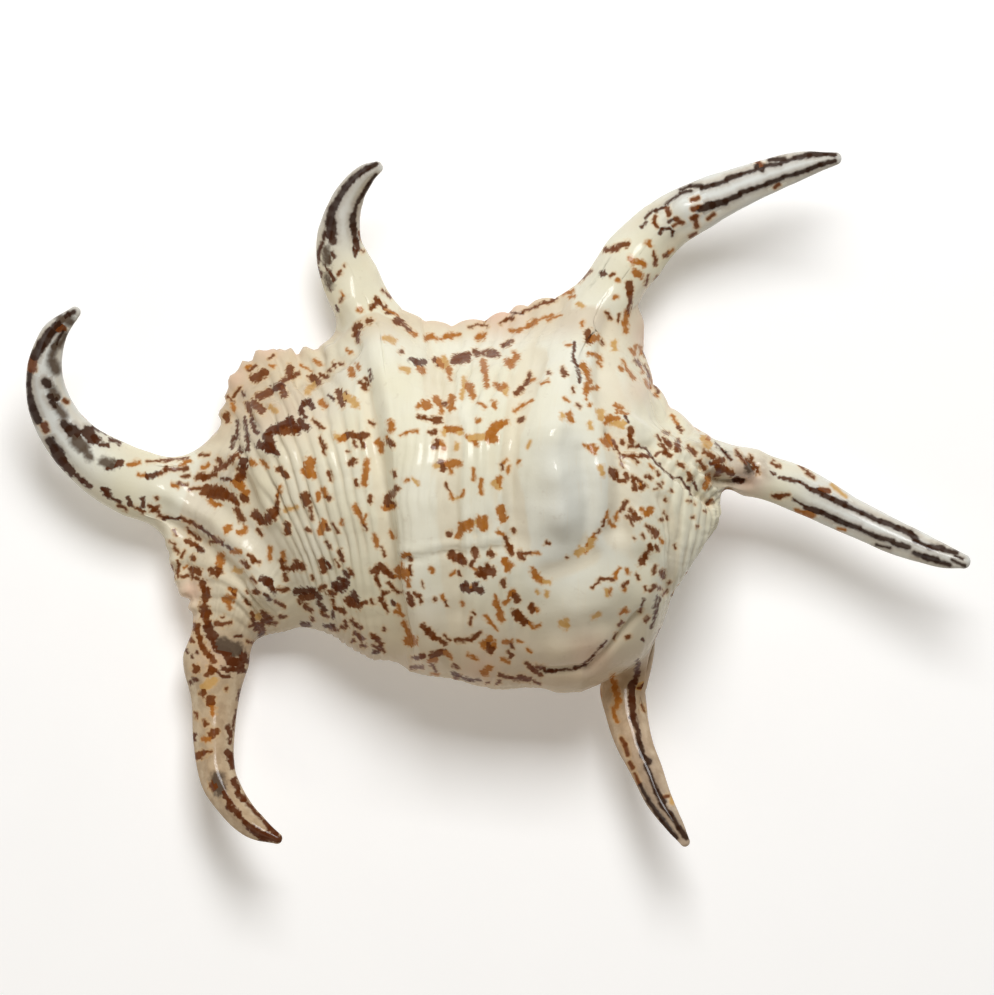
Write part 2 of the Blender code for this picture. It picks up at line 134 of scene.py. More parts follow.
HOLLOW = [(0, 0), (4, 0), (7, 1), (18, 1), (22, 0.15), (23, 0)]

# The aperture's two lips, as shares of the way from the foot (0) to the outer lip's edge (1).
INNER_LIP = [(0, 0.52), (5, 0.52), (8, 0.50), (12, 0.49), (16, 0.50), (20, 0.52), (23, 0.46)]
OUTER_LIP = [(0, 0.60), (5, 0.62), (8, 0.69), (12, 0.70), (16, 0.69), (20, 0.64), (23, 0.54)]

# Ribs that cross the back: station, half width in stations, height in mm at the lip, at the crest, at the
# foot.
RIBS = [(8.0, 1.0, 3.5, 1.0, 0.0), (14.0, 1.0, 3.0, 1.8, 0.8), (20.0, 0.9, 2.6, 2.6, 0.5)]

# The hump, the shoulder beside the spire and the valley behind it: height in mm, then the station of its
# middle and its half width, and the place round the loop of its middle and its half width.
RISES = [(3.0, 7.6, 1.7, 7.2, 2.0), (1.6, 4.3, 0.9, 2.6, 1.2), (-2.2, 6.0, 0.7, 2.6, 1.2)]

# Lobes along the foot: the stations between them, how far they stand out in mm, and their place round the
# loop.
FOOT_LOBES = (5.2, 7.2, 9.0, 10.8, 13.9, 16.0, 17.8)
FOOT_LOBE_HEIGHT = 0.9
FOOT_LOBE_PLACE = 9.6
FOOT_LOBE_WIDTH = 1.5

# Horns: centre line (x, y, z) and width across at each point of it, mm; the place where the plain horn
# begins; and the hole in the loft it grows from: first and last station, first and last column of the
# grid. A lies under the spire, B is the right one, C and D are the upper ones, E is the left one and F is
# the canal.
HORN_A = {
    "path": [(29, -31, 9), (25.7, -37.5, 10), (26.2, -43.3, 11.5), (27.7, -49, 14), (29.9, -54, 16),
             (32.4, -60, 18), (35.5, -65.2, 20), (37.6, -68.6, 21)],
    "width": [11, 9.4, 8.4, 7.3, 6.4, 5.4, 3.7, 1.9], "begins": 1.0, "root": (4, 6, 140, 150),
}
HORN_B = {
    "path": [(40.5, 8.5, 20), (46.5, 6.2, 20), (53, 4, 19), (60.5, 1.4, 18), (70.5, -3.8, 18),
             (80.5, -8.6, 20), (88.3, -11.6, 22), (92.8, -12.9, 24)],
    "width": [13.5, 12.4, 9.0, 9.0, 7.5, 6.6, 5.0, 2.8], "begins": 1.7, "root": (2, 4, 0, 20),
}
HORN_C = {
    "path": [(22.5, 39.5, 11), (27.2, 47.2, 12), (33.4, 53.8, 14), (41, 58.2, 17), (49.5, 61.9, 20),
             (59.5, 65.4, 23), (67.3, 66.9, 26)],
    "width": [15.5, 12.4, 10.8, 9.8, 7.8, 5.9, 2.4], "begins": 1.1, "root": (7, 9, 0, 20),
}
HORN_D = {
    "path": [(-25, 36.5, 9), (-28.8, 43.2, 10), (-31.2, 49.6, 12), (-30.8, 55, 15), (-28.9, 60.1, 19),
             (-26.0, 63.6, 23), (-23.4, 65.2, 26)],
    "width": [14, 11.8, 9.6, 7.7, 5.9, 4.3, 2.2], "begins": 1.1, "root": (13, 15, 0, 20),
}
HORN_E = {
    "path": [(-60, 0.5, 10), (-69, 1.6, 11), (-77.5, 5.4, 13), (-84.3, 10.8, 15), (-88.5, 17.6, 18),
             (-89.6, 25, 22), (-87.5, 32, 25), (-83.1, 36.4, 28)],
    "width": [15, 14, 12.6, 10.4, 8.8, 7.1, 5.2, 2.2], "begins": 1.3, "root": (19, 21, 0, 20),
}
HORN_F = {
    "path": [(-54.5, -26.5, 8), (-56, -33, 9), (-56.2, -41, 10), (-56.3, -49, 12), (-55.4, -56, 14),
             (-52, -61.8, 17), (-47.9, -65.6, 20), (-43.4, -67.9, 22)],
    "width": [14.5, 13.4, 9.5, 8.2, 7.3, 6.4, 5.2, 2.4], "begins": 1.0, "root": None,
}

# Numbers of the horn under the spire, the left horn and the canal, as the skin keeps them.
SPIRE_HORN = 0
LEFT_HORN = 4
CANAL_HORN = 5

# A horn's depth as a share of its width, and the most it may be at the root in mm.
HORN_DEPTH = 0.86
ROOT_DEPTH = 10.5

# Section of a horn, turns counted in radians from its top: two grooves above and the open channel below.
GROOVE_TURN = 0.62
GROOVE_WIDTH = 0.22
GROOVE_DEPTH = 0.05
CHANNEL_WIDTH = 0.3
CHANNEL_DEPTH = 0.26

# Places round a loop: each span from one place to the next, and the steps that it is divided into. The
# horns of the lip grow from the first span, the horn under the spire from the third.
ROUND_SPANS = (
    (-2.0714, 2.0714, 20), (2.0714, 10.357, 120), (10.357, 11.738, 10), (11.738, 16.5, 16),
    (16.5, 23.5, 14), (23.5, 26.9286, 16),
)

# Height of the cords along the shell (mm), and how deeply the lip's edge is scalloped: 1 between horns, 0
# at them.
CORD_STRENGTH = (
    (0, 0.0), (1.2, 0.22), (3, 0.30), (4.4, 0.22), (5.2, 0.07), (6.5, 0.04), (8.6, 0.05), (9.4, 0.16),
    (10.2, 0.26), (12.2, 0.26), (13.0, 0.12), (13.8, 0.04), (14.6, 0.06), (15.2, 0.30), (16.5, 0.46),
    (18.6, 0.40), (19.4, 0.14), (20.4, 0.06), (21.2, 0.24), (22, 0.36), (23, 0.2),
)
BAYS = (
    (0, 0), (1.5, 0), (2.2, 0.3), (4.0, 0.3), (4.8, 1), (6.2, 1), (7.2, 0.2), (8.8, 0.2), (9.6, 1),
    (12.4, 1), (13.2, 0.2), (14.8, 0.2), (15.6, 1), (18.2, 1), (19.2, 0.2), (20.8, 0.2), (21.6, 0.8),
    (22.4, 0.5), (23, 0),
)

# Ribs, knobs, steps and grooves: height in mm, half width in pixels, and the points of a line in the
# photograph.
RIDGES = (
    (2.4, 15, (352, 300), (372, 335), (392, 400), (404, 470), (412, 540), (420, 600), (428, 650)),
    (-1.2, 8, (368, 392), (381, 470), (390, 540), (400, 600), (410, 640)),
    (-0.9, 12, (438, 370), (446, 450), (452, 560), (456, 610)),
    (2.2, 20, (628, 268), (588, 326), (566, 385), (556, 430)), (1.8, 30, (556, 450), (562, 505)),
    (-1.8, 13, (606, 322), (600, 372), (614, 420), (622, 470), (618, 530)),
    (-1.5, 13, (536, 360), (516, 410), (506, 470), (514, 540)),
    (1.3, 5, (690, 448), (705, 452), (716, 462)), (-1.0, 4, (684, 462), (700, 468), (716, 476)),
    (1.2, 5, (722, 452), (738, 462), (748, 472)), (-1.0, 4, (714, 479), (730, 485), (745, 482)),
    (0.9, 4, (700, 478), (712, 490)), (0.8, 4, (758, 462), (768, 474)), (-0.7, 3, (752, 462), (758, 474)),
    (0.9, 15, (543, 442), (550, 470)), (1.2, 15, (556, 480), (562, 515)),
    (0.6, 11, (553, 512), (562, 529)), (-0.7, 7, (581, 452), (588, 500), (584, 545)),
    (0.6, 9, (600, 470), (603, 520)), (0.8, 5, (502, 400), (499, 470), (503, 560), (508, 640)),
    (0.5, 3.5, (484, 360), (480, 450), (486, 560)), (0.4, 3, (468, 420), (466, 500), (470, 570)),
    (0.5, 4, (404, 549), (450, 546), (500, 540)), (-0.5, 3, (404, 556), (450, 553), (500, 547)),
    (-1.1, 3, (610, 430), (630, 447), (650, 446), (660, 460), (675, 475), (690, 487), (712, 505)),
    (1.4, 9, (612, 412), (640, 430), (666, 444), (690, 468)),
    (-1.1, 4, (545, 672), (590, 668), (612, 645), (640, 612)), (1.6, 24, (578, 610), (612, 590)),
    (1.0, 12, (560, 650), (600, 638)), (-0.8, 12, (548, 575), (590, 558)),
    (1.0, 10, (640, 520), (655, 560), (645, 600)), (-0.8, 6, (664, 500), (676, 540), (668, 590)),
    (1.4, 8, (735, 468)), (-0.9, 6, (722, 482), (745, 484)), (0.9, 6, (700, 455), (716, 470)),
    (1.2, 9, (682, 207)), (1.6, 10, (165, 492), (215, 520), (248, 552), (266, 590)),
    (-1.4, 8, (168, 524), (205, 547), (240, 582)), (1.0, 6, (252, 392), (262, 420), (270, 452)),
    (-0.8, 5, (300, 380), (330, 372), (358, 352)), (0.9, 5, (330, 352), (352, 338)),
    (0.8, 6, (236, 455), (262, 486), (272, 520)), (-0.9, 7, (232, 440), (246, 470), (250, 500)),
    (1.1, 5, (246, 364)), (1.0, 5, (259, 356)), (1.2, 6, (276, 353)), (1.0, 5, (291, 356)),
    (0.9, 5, (306, 352)), (1.0, 5, (235, 382)), (0.9, 5, (229, 398)), (1.0, 5, (225, 414)),
    (0.8, 4, (222, 430)), (0.7, 4, (262, 372)), (0.9, 5, (171, 546)), (1.1, 5, (177, 560)),
    (1.0, 5, (180, 576)), (1.2, 6, (187, 590)), (0.9, 5, (194, 606)),
)

# Blushes of peach: strength, then the middle and the reach in pixels of the photograph.
BLUSHES = (
    (0.8, 192, 590, 14), (0.6, 186, 620, 12), (0.7, 748, 478, 18), (0.5, 646, 340, 16), (0.5, 655, 300, 14),
    (0.5, 236, 378, 12), (0.4, 268, 352, 10), (0.4, 215, 655, 16), (0.5, 590, 655, 20), (0.4, 480, 668, 18),
    (0.5, 500, 312, 22), (0.4, 640, 390, 16),
)

# Brown washes over gnarled places: strength, then the middle and the reach in pixels.
WASHES = (
    (0.8, 722, 470, 20), (0.6, 700, 448, 14), (0.6, 760, 466, 14), (0.5, 222, 640, 20), (0.5, 236, 470, 16),
    (0.4, 200, 540, 20), (0.5, 262, 392, 14), (0.4, 625, 435, 14), (0.5, 232, 400, 12),
)

# The brown wash towards the tips of the two lower horns, partly mottled dirt and partly painted shade that
# darkens them towards the bottom: strength, then the rows where it sets in and is full.
LOW_HORN_WASH_AND_SHADE = (0.65, 620, 700)

# The cool patch on the back beside the hump: the pixel of its middle, and its reach across and down.
COOL_MIDDLE = (572, 520)
COOL_REACH = (75, 130)

# Tints towards a warm brown: strength, then the rows or columns of pixels where each sets in and is full.
# The one below the rim, with its gain on the two lower horns, is painted shade: the lower side darker and
# browner, as less light falls there. The others warm the left side, the left shoulder and the upper lip.
PAINTED_SHADE_BELOW = (0.75, 570, 690)
PAINTED_SHADE_LOW_HORN_GAIN = 1.4
WARM_LEFT_SIDE = (0.3, 420, 200)
WARM_LEFT_SHOULDER = (0.45, 360, 290)
WARM_LEFT_SHOULDER_ROWS = (470, 410)
WARM_UPPER_LIP = (0.45, 350, 320)


class Tone(Enum):
    """Tones of the marks, each with its colour (linear light)."""

    TAN = (0.54, 0.29, 0.08, 1.0)
    ORANGE = (0.34, 0.105, 0.012, 1.0)
    CHESTNUT = (0.108, 0.023, 0.003, 1.0)
    BLACKISH = (0.032, 0.011, 0.004, 1.0)
    SMOKE = (0.105, 0.072, 0.048, 1.0)

    @property
    def number(self) -> int:
        """Place in the list of tones, counted from 1."""
        return list(Tone).index(self) + 1


# The brown marks are strokes with round ends, set over the photograph. They are listed by tone
# and by half width in pixels. Each is the column and row of its start, and the step from there to its
# end.

# Marks of the back, the lip, the hump, the spire and the foot side.
BODY_MARKS = {
    Tone.TAN: {
        0.8: ((454, 500, 6, -2), (413, 479, 5, 5)),
        0.9: ((527, 448, 4, -7),),
        1.2: ((607, 590, 0, 6),),
        1.4: ((464, 378, 0, 10), (537, 591, 1, 2)),
        1.5: ((506, 388, 0, 5), (590, 424, 1, 4), (547, 592, 0, 3), (566, 620, 1, 7), (593, 618, 6, -4)),
        1.6: ((463, 390, -1, 7), (457, 445, 0, 3), (578, 304, 4, 2), (436, 466, 4, 0), (562, 414, 1, 3),
        (542, 581, 8, 2)),
        1.8: ((402, 368, 6, 3), (286, 509, 10, -1), (235, 570, 6, 1), (601, 467, 2, 7)),
        2: ((271, 407, 5, 4), (336, 436, 5, 2), (385, 338, 9, 3), (444, 433, 2, -3), (459, 431, 2, 2),
        (494, 483, 5, 4), (476, 522, 3, -3)),
        2.2: ((614, 343, 1, 5),),
        2.4: ((258, 616, 2, 3),),
        2.5: ((314, 384, -6, 7), (470, 438, 14, -1)),
        2.6: ((562, 623, 3, 3),),
        3: ((345, 396, 11, 8), (444, 360, 2, 6), (600, 412, 2, 5), (614, 423, 8, 1), (588, 547, 4, -7),
        (578, 553, 4, -3)),
    },
    Tone.ORANGE: {
        0.8: ((301, 365, 10, 6), (547, 320, 13, -5), (449, 374, 2, 6), (401, 436, 6, -3),
        (407, 432, 11, -1), (587, 392, -1, 7), (622, 360, 4, 7), (655, 394, 3, 3), (461, 497, 3, -6),
        (472, 567, 6, 4), (494, 627, 3, 3), (431, 674, 7, 0), (610, 588, 0, 6), (528, 649, 2, 4)),
        0.9: ((538, 320, 14, -5), (523, 405, 9, -5), (640, 365, 3, 8), (564, 398, 5, 3), (620, 411, 8, 3),
        (518, 641, 4, 1)),
        1: ((270, 366, 4, 0), (386, 437, 2, 3), (432, 336, 5, 4), (541, 384, 7, -3), (569, 297, 5, -1),
        (566, 345, 7, 0), (600, 357, 1, 4), (636, 346, -2, 8), (650, 378, 4, 6), (184, 568, 3, -2),
        (473, 470, 1, 10), (509, 466, -1, 6), (450, 492, 2, 7), (364, 519, 3, -4), (402, 563, 0, 5),
        (342, 520, 0, 5), (584, 444, 4, 3), (616, 413, 2, -4), (519, 460, 0, 4), (397, 604, 3, 6),
        (448, 655, 4, 3), (468, 655, 5, 2), (498, 606, 2, 6), (617, 572, 3, -4), (585, 553, 2, -2)),
        1.1: ((479, 403, 6, 4), (626, 368, 8, 11), (631, 349, 3, 6), (530, 553, 8, 1)),
        1.2: ((347, 350, 4, 3), (246, 368, 6, -2), (441, 339, 6, -2), (453, 336, 6, -2),
        (519, 330, 9, -3), (514, 352, 1, 5), (515, 411, 8, -6), (563, 294, 10, -4), (566, 290, 6, 3),
        (588, 354, 4, 0), (598, 362, 2, 4), (615, 405, 7, 3), (180, 466, 5, -1), (450, 468, 2, 5),
        (504, 463, 3, -3), (640, 484, 1, 4), (672, 416, 6, 8), (607, 513, 0, 5), (462, 603, 1, 2),
        (528, 623, 6, 3)),
        1.3: ((315, 361, 6, 3), (640, 347, 1, 6), (278, 497, 2, -10), (452, 575, 3, -4), (535, 608, 3, 3),
        (534, 627, 6, -2)),
        1.4: ((530, 380, 4, -1), (418, 407, 4, -1), (627, 312, -2, 10), (582, 322, 1, 3),
        (620, 367, 2, 2), (589, 404, 1, 1), (499, 532, 5, 3), (431, 568, 1, 4), (592, 540, 3, -5),
        (442, 596, 1, 3), (495, 597, 2, 4), (486, 617, 2, 2), (489, 620, 4, 6), (625, 610, 2, 2),
        (624, 590, 1, -3)),
        1.5: ((357, 365, 1, 3), (232, 405, 2, 5), (480, 335, 5, -1), (495, 384, 4, 4), (468, 437, 6, 0),
        (618, 280, 1, 0), (614, 298, 3, -1), (184, 462, 6, 0), (203, 468, 5, -2), (173, 485, 4, 2),
        (215, 503, 5, 2), (283, 553, 1, 7), (481, 481, 0, 13), (406, 481, 2, -1), (617, 513, -1, 7),
        (661, 539, 2, 4), (473, 657, 4, 3)),
        1.6: ((303, 470, 3, 6), (511, 330, 7, 1), (441, 406, 1, 7), (587, 384, -1, 8), (588, 389, 9, -1),
        (593, 354, 7, 3), (646, 381, 4, 6), (232, 551, 8, 1), (391, 533, 2, 5), (650, 466, 2, 2),
        (609, 521, 4, 5), (641, 510, 6, 4), (228, 602, 2, 6), (404, 622, 3, 8), (407, 630, 3, 6),
        (408, 580, 0, 6), (471, 587, 2, 1), (442, 651, 6, 4), (627, 570, 1, 3)),
        1.8: ((485, 370, 2, 16), (494, 402, 1, 5), (478, 420, 1, 0), (270, 549, 0, 10), (358, 512, 6, 12),
        (606, 422, 5, -2), (621, 613, 3, -2), (615, 577, 2, -5), (503, 659, 5, 2)),
        2: ((262, 462, 4, 4), (411, 332, 4, 2), (511, 363, 7, -6), (471, 388, 2, 10), (473, 438, 4, 6),
        (440, 442, 4, 7), (625, 322, 1, 10), (586, 372, 4, 10), (318, 494, 1, 5), (324, 490, 2, 6),
        (228, 597, 4, 1), (375, 537, 2, 9), (468, 522, 4, 0), (505, 560, 3, 10), (404, 556, 4, -1),
        (394, 576, 10, 0), (592, 451, 2, 2), (606, 418, 12, 1), (603, 440, 3, 4), (587, 546, 4, -5),
        (396, 612, 6, 3), (495, 602, 3, 6), (505, 603, 4, -3)),
        2.2: ((380, 444, 1, 6), (367, 461, -3, 23), (447, 336, 5, -1), (478, 338, 4, -1),
        (529, 325, 7, -4), (500, 388, 5, -2), (632, 262, 10, 1), (569, 414, 2, 6), (231, 590, 3, 2),
        (537, 577, 5, 4), (505, 642, 6, 0)),
        2.3: ((322, 402, 3, 4),),
        2.4: ((251, 461, 2, 2), (355, 507, 3, 5), (648, 514, 3, -5), (483, 673, 3, 1), (499, 612, 3, 8),
        (510, 594, 4, -2)),
        2.5: ((351, 370, 1, 4), (340, 440, 4, -3), (377, 442, 5, 2), (427, 338, 4, -2), (419, 368, 4, 3),
        (446, 366, 4, 6), (447, 430, 12, -1), (211, 501, 4, 4)),
        2.6: ((483, 362, 2, 8), (436, 399, 3, 5), (501, 424, 5, -2), (635, 272, 5, 3), (240, 532, 4, -2),
        (447, 464, 12, -1), (499, 478, 0, 7), (386, 508, 6, -2), (458, 536, 4, -8), (484, 520, 1, 8),
        (589, 447, 6, 2), (431, 660, 4, -1), (485, 670, 4, -2), (533, 571, 3, 5)),
        3: ((391, 423, 0, 6), (313, 476, -3, -2), (438, 361, 6, 5), (508, 362, 3, 3), (466, 385, 5, 3),
        (452, 398, -1, 10), (590, 340, 6, -3), (583, 366, 3, 5), (240, 486, 6, 7), (227, 530, 2, -2),
        (479, 519, 4, 8), (505, 562, 4, 3), (608, 437, 1, 8), (226, 599, 4, 3), (492, 646, 1, -2)),
        3.2: ((324, 523, -3, 8), (221, 556, -1, 10)),
        3.4: ((494, 428, 6, -4), (463, 526, 7, 0), (399, 570, 8, 3), (484, 645, 6, -5)),
        3.8: ((501, 510, 2, 8),),
        4: ((424, 404, 2, 1), (489, 435, 4, -4), (489, 438, 5, 0), (236, 482, 4, 2), (408, 641, 5, 0)),
        4.5: ((310, 462, -1, 11),),
    },
    Tone.CHESTNUT: {
        0.7: ((328, 371, 4, -1), (694, 503, 1, 1)),
        0.8: ((339, 364, 4, 0), (322, 446, 3, 8), (348, 451, 1, 1), (469, 328, 6, -3), (478, 324, 9, 2),
        (522, 312, 13, -5), (446, 484, 4, 8), (617, 448, 3, 10), (620, 458, 3, 10), (658, 483, 1, 1),
        (660, 486, 1, 1), (662, 482, 1, 1), (654, 489, 4, 0), (671, 490, 1, 1), (664, 512, 1, 1),
        (634, 538, 1, 1), (626, 516, 1, 2), (688, 500, 2, 2), (705, 511, 1, 1), (692, 517, 2, 0),
        (697, 526, 1, 1), (246, 641, 7, 2), (421, 582, 3, 4), (486, 683, 3, -1), (662, 595, 5, -5),
        (614, 639, 2, -6), (566, 557, 1, 1)),
        0.9: ((501, 324, 6, -5), (578, 282, 6, -5), (648, 275, -3, 11), (643, 351, 3, 6),
        (577, 405, 3, 2), (246, 591, 2, 2), (630, 456, 8, 7), (595, 535, 5, -5), (675, 545, 0, 3),
        (397, 592, 4, 0)),
        1: ((274, 355, -6, 3), (248, 370, 8, -4), (228, 397, 6, 5), (250, 412, 3, 8), (548, 302, 8, -3),
        (424, 419, 7, 0), (655, 280, 3, -4), (645, 365, 5, 13), (573, 388, 0, 4), (147, 462, 21, -2),
        (168, 460, 20, -2), (178, 484, 9, 0), (189, 489, 11, -1), (328, 497, 1, 3), (172, 565, 1, 13),
        (170, 541, 5, 4), (156, 497, 1, 2), (363, 523, 3, 7), (381, 547, 4, 9), (335, 560, 4, 7),
        (458, 572, 2, 3), (628, 447, 10, -1), (640, 455, 12, 3), (657, 436, 4, 4), (663, 437, 5, 7),
        (655, 456, 5, -4), (666, 499, 0, 2), (647, 526, 2, 4), (642, 535, 2, 3), (667, 516, 0, 2),
        (661, 519, 1, 2), (382, 598, 1, -6), (383, 593, 5, -1), (473, 612, 1, 3), (444, 635, 6, 5),
        (380, 646, 4, 6), (431, 664, 5, 7), (496, 684, 5, -3), (649, 547, 1, -2), (645, 587, 0, 3),
        (659, 587, 1, 2), (669, 583, 1, -1), (534, 681, 6, 3)),
        1.1: ((620, 315, -2, 7), (352, 641, 3, 0)),
        1.2: ((366, 378, 3, 8), (354, 440, 1, 6), (535, 307, 10, -5), (503, 345, 9, -4),
        (529, 380, 1, -7), (607, 313, 3, 6), (601, 340, 3, 5), (200, 455, 8, -1), (182, 476, 8, -1),
        (311, 508, 1, 11), (307, 529, 3, 2), (312, 576, 1, 3), (254, 561, 6, 2), (184, 551, -3, 7),
        (174, 530, 2, 5), (501, 465, 2, 3), (410, 566, 1, 9), (333, 524, 5, 8), (327, 542, 3, 6),
        (616, 471, 2, 7), (636, 478, 5, 4), (665, 440, 5, 7), (668, 441, 4, 6), (657, 471, 1, 3),
        (222, 617, 2, -1), (270, 622, 6, 2), (298, 600, 2, 3), (360, 604, 6, -1), (332, 600, 3, 8),
        (392, 587, 5, 5), (434, 599, 1, 2), (446, 602, 1, 4), (471, 618, -1, 6), (453, 665, 5, 3),
        (384, 628, 1, 2), (592, 587, 8, -6), (653, 574, 3, -8), (640, 612, 1, -3), (646, 621, 2, -3)),
        1.3: ((334, 364, 0, 3), (233, 396, 7, -8), (609, 276, 4, -2), (654, 380, 4, 12), (187, 528, 3, 5),
        (190, 532, 10, 7), (175, 548, 3, 5), (251, 578, 4, 5), (629, 516, 3, 8), (222, 624, 9, -1),
        (312, 618, 1, 2), (600, 580, 13, -1), (619, 626, 3, -4)),
        1.4: ((314, 421, 8, 7), (362, 440, 1, 7), (394, 472, 1, 4), (401, 351, 1, 1), (484, 352, 6, -1),
        (522, 388, 6, -7), (549, 373, 1, 0), (418, 417, 6, 1), (584, 277, 6, -6), (546, 303, 8, -3),
        (231, 499, 8, 6), (178, 562, 0, 14), (326, 524, 2, 6), (349, 570, 3, 5), (646, 476, 5, 2),
        (605, 520, -2, 6), (630, 510, 3, 4), (664, 432, 4, 2), (280, 617, 5, 0), (330, 628, 8, 2),
        (371, 600, 2, 4), (384, 606, 4, 5), (376, 578, 3, 8), (345, 622, 2, 4), (341, 627, 4, 2),
        (374, 645, 5, 5), (361, 646, 4, 0), (523, 554, 7, -1), (637, 575, 1, 4), (651, 591, 3, -5),
        (511, 678, 9, 1), (511, 643, 2, 5)),
        1.5: ((346, 393, 1, 7), (400, 322, 10, 8), (434, 359, 4, 6), (440, 404, 6, 0), (519, 421, 4, -2),
        (635, 360, 5, 5), (158, 475, 7, -4), (276, 508, 2, -12), (285, 575, 1, 5), (180, 518, 20, 9),
        (212, 537, 10, 6), (211, 542, 4, 0), (181, 577, 7, -2), (356, 480, 1, 6), (326, 496, 4, 2),
        (622, 441, 1, 2), (632, 477, 3, 3), (656, 547, 2, 3)),
        1.6: ((320, 438, 5, 10), (371, 422, 2, 2), (330, 473, 1, 7), (508, 318, 5, 0), (479, 353, 5, 1),
        (630, 303, -3, 11), (165, 469, 22, 0), (258, 530, 4, 5), (393, 503, 2, 3), (474, 560, -3, 6),
        (408, 556, 3, 3), (376, 575, 1, 5), (513, 530, 1, 2), (624, 456, 10, -1), (622, 510, -1, 1),
        (246, 601, 3, 3), (276, 602, 7, 4), (216, 623, 6, 2), (322, 612, 6, 5), (388, 583, 4, 5),
        (415, 593, 4, 5), (419, 598, 2, 4), (456, 640, 16, 0), (472, 639, 8, -6), (413, 658, 11, -1),
        (455, 678, 5, -2), (352, 620, 4, 5), (356, 625, 5, 3), (355, 633, 5, 4), (372, 635, 6, 3),
        (524, 622, 4, 1), (624, 586, 3, -3), (626, 638, 3, -1), (537, 667, 8, 1), (519, 676, 7, 4),
        (500, 675, 11, 3)),
        1.8: ((320, 375, 6, 2), (430, 432, 5, 0), (296, 562, 2, 4), (278, 589, 9, 1), (319, 589, 6, -2),
        (340, 551, 3, 9), (634, 456, 14, 0), (613, 441, 3, 7), (634, 481, 1, 8), (661, 443, 5, 8),
        (676, 444, 2, 6), (679, 464, 5, 4), (547, 543, 2, 0), (434, 637, 11, 6), (412, 667, 10, 0),
        (358, 634, 4, 6), (530, 606, 2, 6), (531, 605, 3, 4), (662, 572, 1, 5)),
        2: ((283, 381, 15, -7), (504, 345, 4, -1), (494, 352, 4, 3), (630, 293, 0, 10),
        (216, 469, 10, -3), (226, 466, 6, -7), (232, 458, 6, -3), (218, 459, 3, 4), (282, 560, 2, 8),
        (284, 568, 4, 1), (301, 565, 2, 4), (249, 556, 5, 5), (243, 562, 5, 5), (193, 557, 0, 2),
        (193, 577, 4, 1), (152, 510, 6, -2), (370, 497, 1, 5), (505, 538, 6, 11), (455, 560, 5, 1),
        (488, 566, 2, 3), (626, 475, 2, 3), (640, 488, 5, -2), (664, 452, 6, 4), (679, 427, 2, 3),
        (626, 503, -3, 5), (650, 546, 2, 3), (305, 606, 5, 4), (252, 613, 1, 7), (251, 626, 11, -2),
        (336, 608, 8, 4), (418, 658, 5, -2), (503, 581, 1, 5), (376, 638, 5, 7), (645, 557, 4, -8),
        (527, 664, 6, 5), (533, 669, 8, 6), (509, 653, 2, 3)),
        2.2: ((204, 478, 11, -4), (188, 541, 8, 4), (232, 590, 2, 3), (508, 545, 4, 8), (474, 548, 2, 9),
        (619, 480, 5, 1), (263, 613, 7, 6), (428, 630, 6, 7), (523, 677, 7, 3)),
        2.3: ((361, 383, 5, 5), (389, 441, 4, 4)),
        2.4: ((350, 464, 5, -4), (517, 393, 4, -4), (563, 370, 2, 4), (274, 517, 3, -3),
        (392, 494, 5, -6), (449, 534, 2, 0), (388, 572, 6, 5), (631, 429, -1, 7), (630, 436, 1, 7),
        (409, 594, 2, 9), (424, 626, 3, 6), (520, 553, 2, 5)),
        2.5: ((248, 404, 2, 6), (198, 477, 6, -1), (218, 568, 2, 4), (255, 592, 2, 0), (330, 592, 4, 2)),
        2.6: ((280, 469, 6, 7), (475, 352, 2, 2), (437, 442, -2, 5), (237, 510, 5, 10), (292, 568, 7, -2),
        (460, 558, 4, 4), (653, 530, 3, 5), (262, 620, 6, 2), (256, 628, 7, 3), (381, 600, 3, 5),
        (410, 602, 2, 2), (512, 594, 6, 6)),
        2.8: ((226, 415, 1, 5), (434, 420, 6, 0), (243, 496, 3, 4), (287, 525, 1, 7), (441, 463, 2, 5),
        (612, 471, 2, 5), (641, 563, 4, -6)),
        3: ((290, 368, 0, 8), (258, 397, 12, -5), (281, 386, 3, 8), (339, 392, 3, 13), (348, 435, 6, 1),
        (358, 437, 8, -2), (489, 354, 5, -1), (588, 332, 1, 9), (224, 494, 10, 5), (255, 514, 6, 7),
        (322, 561, 2, 9), (192, 570, 7, 2), (203, 583, 2, 7), (302, 597, 10, -1), (388, 497, 0, 8),
        (490, 553, 1, 2), (479, 573, 5, 3), (373, 571, 5, -1), (634, 515, 4, 4), (348, 600, 4, 3),
        (352, 602, 6, 4), (432, 656, 10, -4), (515, 612, 4, 6), (518, 614, 6, 8)),
        3.2: ((312, 378, 6, 4), (454, 361, 6, -4), (460, 357, 7, -1), (629, 284, 1, 5), (212, 571, 5, 3),
        (452, 555, 8, 2)),
        3.4: ((380, 567, 6, 4), (488, 644, 3, 6)),
        3.5: ((254, 403, 8, 7), (261, 521, 7, 0), (205, 590, 1, 8)),
        3.6: ((305, 496, 2, 7),),
        4: ((264, 373, -10, 6), (280, 430, 16, 0), (456, 359, 10, -1), (268, 518, 7, -7),
        (483, 572, 9, -1)),
        4.5: ((242, 470, -2, 8),),
        5: ((206, 491, 14, 0), (213, 495, 11, -2)),
    },
    Tone.BLACKISH: {
        0.7: ((657, 597, -3, 10),),
        0.8: ((511, 313, 11, 0), (638, 446, 8, 3), (672, 477, 7, 1), (688, 488, 4, 7), (660, 598, -5, 14),
        (644, 600, -2, 6), (556, 671, 19, -2)),
        0.9: ((646, 449, 6, 9), (655, 618, -4, 10), (575, 668, 10, -4), (585, 664, 9, -9),
        (594, 655, 8, -9)),
        1: ((370, 370, 1, 11), (222, 479, 12, 1), (326, 562, 5, 6), (222, 543, 10, 7), (272, 588, 4, 6),
